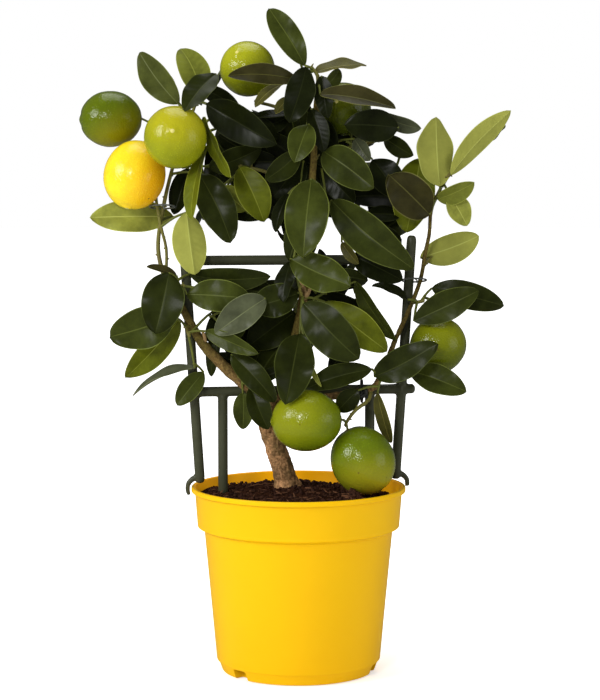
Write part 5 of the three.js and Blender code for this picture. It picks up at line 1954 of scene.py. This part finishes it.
class Space:
    """What is already in the crown, which new leaves keep clear of."""

    def __init__(self, plans: tuple[MassPlan, ...]) -> None:
        """Notes which parts of the view the listed leaves and fruit cover, and how near each is.

        Args:
            plans: The masses.
        """
        self.kept: list[tuple[BVHTree, Vector, Vector]] = []
        rows = []
        for plan in plans:
            for leaf in plan.leaves:
                half = leaf.wide / 2 * abs(math.cos(math.radians(leaf.roll)))
                rows.append((*leaf[:4], half * HABIT.cover, leaf.foot_near, leaf.tip_near, 1))
            for fruit in plan.fruits:
                across, up, near = fruit.centre
                rows.append((across, up, across, up, fruit.girth / 2 * HABIT.cover, near, near, 0))
        table = np.array(rows)
        self.start = table[:, 0:2]
        self.line = table[:, 2:4] - table[:, 0:2]
        self.reach = table[:, 4]
        self.nears = table[:, 5:7]
        self.tapers = table[:, 7] > 0
        self.squared = np.maximum((self.line ** 2).sum(1), 1e-9)

    def add(self, points: list[Vector], faces: list[Face]) -> None:
        """Keeps a shape.

        Args:
            points: Its vertices, in millimetres.
            faces: Its faces.
        """
        table = np.array(points)
        tree = BVHTree.FromPolygons(points, faces)
        self.kept.append((tree, Vector(table.min(0)), Vector(table.max(0))))

    def met(self, points: list[Vector], faces: list[Face]) -> bool:
        """Tells whether a shape meets anything that is kept.

        Args:
            points: Its vertices, in millimetres.
            faces: Its faces.

        Returns:
            Whether it does.
        """
        tree = BVHTree.FromPolygons(points, faces)
        table = np.array(points)
        low, high = table.min(0), table.max(0)
        for other, other_low, other_high in self.kept:
            apart = any(low[axis] > other_high[axis] or other_low[axis] > high[axis] for axis in range(3))
            if not apart and tree.overlap(other):
                return True
        return False

    def depths(self, point: Vector, margin: float = 0.0) -> np.ndarray:
        """Works out how far a point is behind each listed leaf and fruit that covers it.

        Args:
            point: The point, in millimetres.
            margin: How far past its outline a leaf or fruit still counts, in millimetres.

        Returns:
            The distances, in millimetres.
        """
        spot = np.array(seen_at(point))
        share = np.clip(((spot - self.start) * self.line).sum(1) / self.squared, 0, 1)
        nearest = self.start + self.line * share[:, None]
        fullness = np.where(self.tapers, np.sqrt(4 * share * (1 - share)), 1.0)
        covering = ((spot - nearest) ** 2).sum(1) < np.maximum(self.reach * fullness + margin, 0) ** 2
        near = self.nears[:, 0] + (self.nears[:, 1] - self.nears[:, 0]) * share
        return (near + point.y)[covering]

    def hidden(self, point: Vector, margin: float = 0.0) -> bool:
        """Tells whether a point lies behind leaves or fruit that the viewer sees, and before none."""
        depths = self.depths(point, margin)
        return len(depths) > 0 and bool((depths > HABIT.behind).all())

    def clear(self, point: Vector) -> bool:
        """Tells whether a point keeps out of the gaps of sky."""
        across, up = seen_at(point)
        return not any(window.holds(across, up, HABIT.window_margin) for window in WINDOWS)

    def in_core(self, point: Vector) -> bool:
        """Tells whether the viewer sees a point in the crown's closed core."""
        shares = zip(seen_at(point), HABIT.core_centre, HABIT.core_half)
        return sum(((seen - centre) / half) ** 4 for seen, centre, half in shares) < 1

    def may_close(self, point: Vector) -> bool:
        """Tells whether a leaf that closes a chink may stand at a point."""
        within = self.clear(point) and self.in_core(point) and point.y < HABIT.rear
        return within and bool((self.depths(point) > HABIT.behind).all())

    def covered(self, across: float, up: float) -> bool:
        """Tells whether anything stands where the viewer looks.

        Args:
            across: How far to the right the viewer looks, in millimetres.
            up: How high the viewer looks, in millimetres.

        Returns:
            Whether a kept form crosses that line of sight within the crown.
        """
        start, end = place((across, up, 120)), place((across, up, -120))
        away = end - start
        return any(tree.ray_cast(start, away, away.length)[0] is not None for tree, *_ in self.kept)

    def backed(self, point: Vector) -> bool:
        """Tells whether a leaf may stand at a point: in the closed core or behind a listed leaf."""
        if point.y > HABIT.rear or not self.clear(point):
            return False
        return self.hidden(point) or (self.in_core(point) and self.hidden(point, HABIT.backing_margin))


class Mass:
    """One mass of foliage, grown twig by twig from its stem."""

    def __init__(self, plan: MassPlan, space: Space) -> None:
        """Starts the mass from its stem and side twigs.

        Args:
            plan: What the mass is.
            space: What its leaves keep clear of.
        """
        self.plan = plan
        self.space = space
        self.random = Dice(plan.seed)
        self.node = f"foliage_{plan.name}"
        self.twigs: list[tuple[Vector, Vector]] = []
        self.stems: list[tuple[Route, tuple[float, ...], int]] = []
        self.leaves: list[GrownLeaf] = []
        self.stalks: list[int] = []
        self.fruits: list[GrownFruit] = []
        self.add_stem(plan.stem, HABIT.stem)
        for twig in plan.twigs:
            self.add_stem(twig, HABIT.spur)

    def add_stem(self, places: tuple[Place, ...], thick: float) -> None:
        """Adds a stem or a side twig.

        Args:
            places: Its places.
            thick: Its radius where it starts.
        """
        route = Route([place(seen) for seen in places])
        shares = [index / route.spans for index in range(route.spans + 1)]
        radii = tuple(blend(thick, HABIT.spur, share) * HABIT.swell for share in shares)
        self.stems.append((route, radii, 0))
        steps = route.spans * HABIT.stem_steps
        limb = LIMBS[self.plan.limb]
        points = [route.at(step / steps) for step in range(steps + 1)]
        bare = [point for point in points if limb.distance(point) > HABIT.stem]
        self.twigs.extend(zip(bare, bare[1:]))

    def nearest_twig(self, point: Vector) -> Vector:
        """Finds the nearest place on a twig, moved back towards the twig's foot and a little aside.

        Args:
            point: What the place is nearest to.

        Returns:
            The place.
        """
        best, spot = math.inf, Vector()
        for start, end in self.twigs:
            line = end - start
            share = min(max((point - start).dot(line) / max(line.length_squared, 1e-9), 0), 1)
            distance = (start + line * share - point).length
            if distance < best:
                stepped = max(HABIT.least_share, share - HABIT.back * distance / max(line.length, 1))
                best, spot = distance, start + line * min(stepped, share)
        return spot + Vector([HABIT.aside * (self.random() - 0.5) for _ in range(3)])

    def add_stalk(self, start: Vector, end: Vector) -> None:
        """Adds a stalk that sags a little between a twig and what it bears.

        Args:
            start: Where it leaves the twig.
            end: Where it ends.
        """
        middle = (start + end) / 2
        middle.z += HABIT.sag * (end - start).length
        radii = (HABIT.spur, (HABIT.spur + HABIT.tip) / 2, HABIT.tip)
        self.stems.append((Route([start, middle, end]), radii, 1))
        self.twigs.append((start, end))

    def add_fruit(self) -> None:
        """Adds the fruit on their stalks."""
        for index, plan in enumerate(self.plan.fruits):
            fruit = GrownFruit(plan, f"{self.plan.name}_{index + 1}", seed=self.plan.seed + index)
            self.add_stalk(self.nearest_twig(fruit.top), fruit.top + fruit.stalk * 2)
            self.fruits.append(fruit)
            ball = bmesh.new()
            bmesh.ops.create_icosphere(
                ball, subdivisions=2, radius=plan.girth / 2, matrix=Matrix.Translation(fruit.centre))
            ball.verts.index_update()
            points = [vert.co.copy() for vert in ball.verts]
            faces = [tuple(vert.index for vert in face.verts) for face in ball.faces]
            ball.free()
            self.space.add(points, faces)

    def plate(self, leaf: GrownLeaf) -> tuple[list[Vector], list[Face]]:
        """Makes the simple plate that a leaf is tested with.

        Args:
            leaf: The leaf.

        Returns:
            Its vertices and faces.
        """
        along, across, face = leaf.axes()
        length = (leaf.tip - leaf.foot).length
        points = [leaf.foot]
        for share, full in ((0.3, 0.94), (0.68, 0.86)):
            centre = leaf.foot + along * (length * share)
            centre += face * (leaf.bow * length * 4 * share * (1 - share))
            half = across * (leaf.wide / 2 * full)
            points += [centre + half, centre - half]
        points.append(leaf.tip)
        return points, [(0, 1, 2), (1, 3, 4), (1, 4, 2), (3, 5, 4)]

    def stalk_clear(self, start: Vector, end: Vector) -> bool:
        """Tells whether a stalk keeps out of the gaps of sky."""
        return all(self.space.clear(start.lerp(end, share)) for share in (0.0, 0.25, 0.5, 0.75, 1.0))

    def shows(self, leaf: GrownLeaf) -> bool:
        """Tells whether a leaf that should lie behind others shows past them.

        Args:
            leaf: The leaf.

        Returns:
            Whether it shows.
        """
        along, across, face = leaf.axes()
        length = (leaf.tip - leaf.foot).length
        for share in (0.04, 0.3, 0.5, 0.7, 0.96):
            arch = 4 * share * (1 - share)
            centre = leaf.foot + along * (length * share) + face * (leaf.bow * length * arch)
            for side in (-1, 0, 1):
                point = centre + across * (side * leaf.wide / 2 * math.sqrt(arch))
                core = self.space.in_core(point) and self.space.clear(point)
                if not core and not self.space.hidden(point, HABIT.hidden_margin):
                    return True
        return False

    def drawn_in(self, leaf: GrownLeaf) -> GrownLeaf | None:
        """Makes a leaf small enough not to show past those before it.

        Args:
            leaf: The leaf at its full size.

        Returns:
            The smaller leaf, or None where even the smallest shows.
        """
        for scale in HABIT.drawn:
            tip = leaf.foot.lerp(leaf.tip, scale)
            smaller = replace(leaf, tip=tip, wide=leaf.wide * scale)
            if not self.shows(smaller):
                return smaller
        return None

    def keep(self, leaf: GrownLeaf, start: Vector) -> None:
        """Keeps a leaf and its stalk.

        Args:
            leaf: The leaf.
            start: Where its stalk leaves the twig.
        """
        self.space.add(*self.plate(leaf))
        self.add_stalk(start, leaf.foot)
        self.leaves.append(leaf)
        self.stalks.append(len(self.stems) - 1)

    def seeded_bow(self) -> float:
        """Returns how far a leaf is bowed, as a seeded share of its length."""
        return HABIT.bow * (HABIT.least_bow + self.random())

    def seed(self, kind: int) -> int:
        """Returns what the next leaf's waves follow from, by its kind."""
        return self.plan.seed * 100 + kind + len(self.leaves)

    def listed(self, row: Leaf, seed: int) -> GrownLeaf:
        """Makes a leaf that the viewer sees.

        Args:
            row: Its plan.
            seed: What its waves follow from.

        Returns:
            The leaf.
        """
        foot = place((row.foot_across, row.foot_up, row.foot_near))
        tip = place((row.tip_across, row.tip_up, row.tip_near))
        return GrownLeaf(foot, tip, row.wide, row.roll, self.seeded_bow(), row.tone, seed)

    def add_listed(self) -> None:
        """Adds the listed leaves, those nearest the stem's foot first."""
        root = place(self.plan.stem[0])
        listed = [self.listed(row, self.seed(index)) for index, row in enumerate(self.plan.leaves)]
        listed.sort(key=lambda leaf: (leaf.foot - root).length)
        for leaf in listed:
            self.keep(leaf, self.nearest_twig(leaf.foot))

    def add_scraps(self) -> None:
        """Adds the lesser leaves of which the viewer sees a scrap."""
        for row in self.plan.scraps:
            leaf = self.listed(row, self.seed(HABIT.scrap_kind))
            self.keep(leaf, self.nearest_twig(leaf.foot))

    def close_chink(self, across: float, up: float) -> bool:
        """Grows a leaf over a chink in the crown's core, where there is room for one.

        Args:
            across: How far right the viewer sees the chink, in millimetres.
            up: How high.

        Returns:
            Whether a leaf was grown.
        """
        random = self.random
        for _ in range(HABIT.chink_tries):
            middle = place((across, up, random.between(*HABIT.chink_depth)))
            heading = 2 * math.pi * random()
            lean = random.between(*HABIT.chink_lean)
            length = random.between(HABIT.fine_shortest, HABIT.fine_longest)
            half = Vector((math.cos(heading), lean, math.sin(heading))).normalized() * length / 2
            roll = HABIT.backing_roll * (random() - 0.5)
            # The chink's leaf takes the deep tone, painted shade for the crown's core.
            leaf = GrownLeaf(
                middle - half, middle + half, length * HABIT.chink_wide, roll, self.seeded_bow(), DEEP_SHADE,
                self.seed(HABIT.chink_kind), True)
            start = self.nearest_twig(leaf.foot)
            plate = self.plate(leaf)
            fits = all(self.space.may_close(point) for point in (middle, *plate[0]))
            fits = fits and (start - leaf.foot).length < HABIT.stalk and self.stalk_clear(start, leaf.foot)
            if fits and not self.space.met(*plate):
                self.keep(leaf, start)
                return True
        return False

    def fill_leaf(self, shortest: float, longest: float) -> GrownLeaf | None:
        """Makes a leaf behind the listed ones that points away from the end of the mass's stem.

        Args:
            shortest: The least length of the leaf.
            longest: Its greatest length.

        Returns:
            The leaf, or None where it would show in a gap.
        """
        random = self.random
        centre = place(self.plan.stem[-1])
        rows = self.plan.leaves or ALL_LEAVES
        row = rows[int(random() * len(rows))]
        share = random()
        _, nearest, furthest = self.plan.fill
        foot = row.along(share, blend(nearest, furthest, random()))
        sideways = HABIT.spread * (random() - 0.5)
        rearward = HABIT.rearward * random()
        upward = HABIT.spread * (random() - 0.5)
        outward = Vector((
            foot.x - centre.x + sideways, rearward + (HABIT.rear - foot.y) * HABIT.rear_pull,
            foot.z - centre.z + upward,
        )).normalized()
        length = blend(shortest, longest, random())
        tip = foot + outward * length
        roll = HABIT.roll + HABIT.roll_spread * (random() - 0.5)
        seed = self.seed(HABIT.fill_kind)
        leaf = GrownLeaf(foot, tip, length * HABIT.slim, roll, self.seeded_bow(), DARK, seed, True)
        within = tip.y < HABIT.rear and foot.y < HABIT.rear
        middle = (foot + tip) / 2
        half = leaf.axes()[1] * (leaf.wide / 2)
        seen = (foot, middle, tip, middle + half, middle - half)
        return leaf if within and all(self.space.hidden(point) for point in seen) else None

    def backing_leaf(self) -> GrownLeaf | None:
        """Makes a leaf just behind a listed one.

        Returns:
            The leaf, or None where it would close a gap of sky.
        """
        random = self.random
        row = self.plan.leaves[int(random() * len(self.plan.leaves))]
        share = random.between(*HABIT.backing_along)
        near = blend(row.foot_near, row.tip_near, share) + random.between(*HABIT.backing_depth)
        foot = row.along(share, near)
        heading = math.atan2(row.tip_up - row.foot_up, row.tip_across - row.foot_across)
        heading += HABIT.backing_turn * (random() + random() - 1) * 2
        lean = random.between(*HABIT.backing_lean)
        length = random.between(HABIT.shortest, HABIT.longest)
        tip = foot + Vector((math.cos(heading), lean, math.sin(heading))).normalized() * length
        wide = length * random.between(*HABIT.backing_wide)
        roll = HABIT.backing_roll * (random() - 0.5)
        seed = self.seed(HABIT.backing_kind)
        leaf = GrownLeaf(foot, tip, wide, roll, self.seeded_bow(), DARK, seed, True)
        points = [foot, *self.plate(leaf)[0], (foot + tip) / 2]
        return leaf if all(self.space.backed(point) for point in points) else None

    def add_behind(
        self, count: int, offer: Callable[[], GrownLeaf | None], tones: tuple[Tone, ...],
        suits: Callable[[Vector, GrownLeaf], bool],
    ) -> int:
        """Adds leaves behind the listed ones where there is room for them.

        Args:
            count: How many leaves to add.
            offer: Gives a leaf, or None where it would show.
            tones: The tones that the leaf's is drawn from.
            suits: Tells whether a leaf with the start of its stalk is of the right kind.

        Returns:
            How many were added.
        """
        grown = 0
        for _ in range(count * HABIT.tries):
            if grown == count:
                break
            leaf = offer()
            if leaf is None:
                continue
            start = self.nearest_twig(leaf.foot)
            if (start - leaf.foot).length > HABIT.stalk or self.space.met(*self.plate(leaf)):
                continue
            if suits(start, leaf):
                leaf.tone = tones[int(self.random() * len(tones))]
                self.keep(leaf, start)
                grown += 1
        return grown

    def add_backing(self) -> int:
        """Adds leaves that darken the crown just behind the listed ones, and returns how many."""
        count = round(len(self.plan.leaves) * HABIT.backing_share)
        return self.add_behind(
            count, self.backing_leaf, HABIT.backing_tones,
            lambda start, leaf: self.stalk_clear(start, leaf.foot))

    def add_fill(self) -> int:
        """Adds the leaves that fill the crown to its back as the solids do, and returns how many."""
        return self.add_behind(
            self.plan.fill[0], lambda: self.fill_leaf(HABIT.shortest, HABIT.longest),
            HABIT.fill_tones, lambda start, leaf: True)

    def add_fine(self) -> int:
        """Adds finer leaves within the rounded back of the crown, and returns how many."""
        return self.add_behind(
            round(self.plan.fill[0] * HABIT.fine_share),
            lambda: self.fill_leaf(HABIT.fine_shortest, HABIT.fine_longest), HABIT.fill_tones,
            lambda start, leaf: self.rounded(leaf) and self.stalk_clear(start, leaf.foot))

    def rounded(self, leaf: GrownLeaf) -> bool:
        """Tells whether a leaf's tip lies within the rounded back of the crown."""
        offset = leaf.tip - Vector((HABIT.core_centre[0], 0, HABIT.core_centre[1]))
        return Vector([along / half for along, half in zip(offset, HABIT.round_back)]).length < 1

    def add_buds(self, bm: BMesh, route: Route, radii: tuple[float, ...]) -> None:
        """Adds the small buds and old leaf scars that stand out from a stem.

        Args:
            bm: The mesh of the twigs.
            route: The line through the stem's middle.
            radii: The radius at each point of the route.
        """
        random = Dice(self.plan.seed * 31 + 7)
        turn = 2 * math.pi * random()
        for centre, normal, side in route.frames(route.spans * HABIT.buds)[1:]:
            turn += HABIT.bud_turn
            out = normal * math.cos(turn) + side * math.sin(turn)
            thick = radii[-1] * random.between(0.5, 0.8)
            end = centre + out * (radii[0] + random.between(0.4, 1.6)) + Vector((0, 0, 0.8))
            add_tube(bm, Route([centre, end]), (thick * 1.3, thick * 0.6), 6, 2)

    def build(self, blades: tuple[Blade, Blade]) -> None:
        """Makes the mass's pieces: twigs, leaves and fruit.

        Args:
            blades: The fine blade for listed leaves and the plainer one for those behind.
        """
        drawn = [self.drawn_in(leaf) if leaf.behind else leaf for leaf in self.leaves]
        dropped = {stalk for leaf, stalk in zip(drawn, self.stalks) if leaf is None}
        bm = bmesh.new()
        for index, (route, radii, material) in enumerate(self.stems):
            if index in dropped:
                continue
            add_tube(bm, route, radii, 10 if material == 0 else 8, 3, material=material)
            if material == 0:
                self.add_buds(bm, route, radii)
        stems = [YOUNG_STEM.material(), LEAF_STALK.material()]
        bmesh.ops.recalc_face_normals(bm, faces=bm.faces[:])
        new_piece(bm, f"twigs_{self.plan.name}", stems, (self.node,))
        if self.leaves:
            tones = sorted({leaf.tone for leaf in self.leaves}, key=lambda tone: tone.value)
            bm = bmesh.new()
            for leaf in drawn:
                if leaf is not None:
                    blades[1 if leaf.behind else 0].add(bm, leaf, tones)
            materials = [made for tone in tones for made in LEAF_FINISHES[tone].materials(tone)]
            new_piece(bm, f"leaves_{self.plan.name}", materials, (self.node,))
        for fruit in self.fruits:
            fruit.build(self.node)


ALL_LEAVES = tuple(leaf for plan in MASSES for leaf in plan.leaves)


class Crown:
    """All the masses of foliage, grown in the order that the solids are."""

    def __init__(self, nodes: dict[str, Object]) -> None:
        """Starts the masses, and keeps room for the frame's other nodes.

        Args:
            nodes: The frame's nodes by name.
        """
        self.space = Space(MASSES)
        for name, node in nodes.items():
            if not name.startswith("foliage"):
                points = [vertex.co / MM for vertex in node.data.vertices]
                self.space.add(points, [tuple(face.vertices) for face in node.data.polygons])
        self.masses = [Mass(plan, self.space) for plan in MASSES]

    def grow(self) -> None:
        """Grows the masses, kind of leaf by kind of leaf."""
        for mass in self.masses:
            mass.add_fruit()
        for mass in self.masses:
            mass.add_listed()
        for mass in self.masses:
            mass.add_fill()
        for mass in self.masses:
            backing, fine = mass.add_backing(), mass.add_fine()
            LOG.info("%s: %d leaves, %d backing, %d fine", mass.plan.name, len(mass.leaves), backing, fine)
        for mass in self.masses:
            mass.add_scraps()
        LOG.info("chinks closed: %d", self.close_chinks())

    def close_chinks(self) -> int:
        """Grows leaves over the chinks that are left in the crown's core.

        Returns:
            How many chinks were closed.
        """
        (middle, high), step = HABIT.core_centre, HABIT.chink_grid
        columns, rows = (int(half / step) for half in HABIT.core_half)
        grown = 0
        for row in range(-rows, rows + 1):
            for column in range(-columns, columns + 1):
                across, up = middle + column * step, high + row * step
                spot = place((across, up, HABIT.chink_depth[0] / 2))
                if self.space.may_close(spot) and not self.space.covered(across, up):
                    nearest = min(self.masses, key=lambda mass: (mass.nearest_twig(spot) - spot).length)
                    grown += nearest.close_chink(across, up)
        return grown

    def build(self) -> None:
        """Makes the pieces of every mass."""
        blades = (Blade(34, 15), Blade(18, 9))
        for mass in self.masses:
            mass.build(blades)
        for blade in blades:
            bpy.data.meshes.remove(blade.mesh)


# Camera, light and floor

@dataclass
class Studio:
    """The camera at the front of the tree, soft light from the upper left, and a pale floor."""

    eye: Triple = (0.0012, -1.645, 0.3987)
    pitch: float = 4.99
    lens: float = 107.5
    lamps: tuple[tuple[str, Triple, float, float], ...] = (
        ("left_box", (-1.65, -1.0, 1.1), 0.8, 25), ("front_box", (-0.6, -1.9, 1.0), 0.32, 13),
        ("top_box", (0.0, 0.45, 1.9), 1.3, 13), ("right_box", (1.9, -0.9, 0.5), 1.2, 7),
    )
    aim: Triple = (0.0, 0.0, 0.28)
    sky: float = 0.44
    mirrored_sky: float = 0.12
    shown_sky: float = 1.0
    floor_half: float = 12.0
    floor_drop: float = 0.0005
    floor_white: float = 0.9
    floor_glow: float = 0.08
    shown_floor: Pair = (0.5, 1.0)
    floor_fade: Pair = (0.06, 0.3)

    def build(self) -> None:
        """Adds the camera, lights, world and floor."""
        data = bpy.data.cameras.new("front")
        data.lens = self.lens
        data.sensor_width = 36
        camera = add_object("front", data)
        camera.location = self.eye
        camera.rotation_euler = (math.radians(90 - self.pitch), 0, 0)
        bpy.context.scene.camera = camera
        bpy.context.scene.view_settings.view_transform = "Standard"
        for name, at, size, power in self.lamps:
            light = bpy.data.lights.new(name, "AREA")
            light.size = size
            light.energy = power
            lamp = add_object(name, light)
            lamp.location = at
            lamp.rotation_euler = (Vector(self.aim) - Vector(at)).to_track_quat("-Z", "Y").to_euler()
        self.build_world()
        self.build_floor()

    def build_world(self) -> None:
        """Sets a white world that looks brighter than it shines, and is mirrored more weakly."""
        world = bpy.data.worlds.new("white_room")
        bpy.context.scene.world = world
        world.use_nodes = True
        tree = world.node_tree
        path = add_node(tree, "ShaderNodeLightPath").outputs
        mirrored = ramp(tree, path["Is Glossy Ray"], target=(self.sky, self.mirrored_sky))
        strength = ramp(tree, path["Is Camera Ray"], target=(mirrored, self.shown_sky))
        feed(tree.nodes["Background"], {"Color": WHITE, "Strength": strength})

    def build_floor(self) -> None:
        """Adds the floor under the pot, which looks white further out and is mirrored weakly."""
        bm = bmesh.new()
        bmesh.ops.create_grid(bm, x_segments=1, y_segments=1, size=self.floor_half)
        floor = add_object("floor", as_mesh(bm, "floor"))
        floor.location = (0, 0, -self.floor_drop)
        paint = bpy.data.materials.new("floor_paint")
        paint.use_nodes = True
        tree = paint.node_tree
        reach = add_node(tree, "ShaderNodeVectorMath", {0: object_place(tree)}, operation="LENGTH")
        shown = ramp(tree, reach.outputs["Value"], self.floor_fade, self.shown_floor, smooth=True)
        path = add_node(tree, "ShaderNodeLightPath").outputs
        glow = ramp(tree, path["Is Camera Ray"], target=(self.floor_glow, shown))
        white = ramp(tree, path["Is Glossy Ray"], target=(self.floor_white, self.mirrored_sky))
        feed(tree.nodes["Principled BSDF"], {
            "Roughness": 0.9, "Base Color": white, "Emission Color": WHITE, "Emission Strength": glow,
        })
        floor.data.materials.append(paint)


def dress_soil(node: Object) -> None:
    """Gives the frame's soil the finish of the crumbly top that covers it.

    Args:
        node: The soil's object.
    """
    node.data.materials.clear()
    node.data.materials.append(SOIL_EARTH.material())


def main() -> None:
    """Builds the scene round the frame."""
    logging.basicConfig(level=logging.INFO, format="%(message)s")
    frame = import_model()
    Studio().build()
    Pot().build()
    dress_soil(frame["nodes"]["soil"])
    Soil().build()
    Trellis().build()
    Ties().build()
    Bark().build()
    crown = Crown(frame["nodes"])
    crown.grow()
    crown.build()


if __name__ == "__main__":
    main()
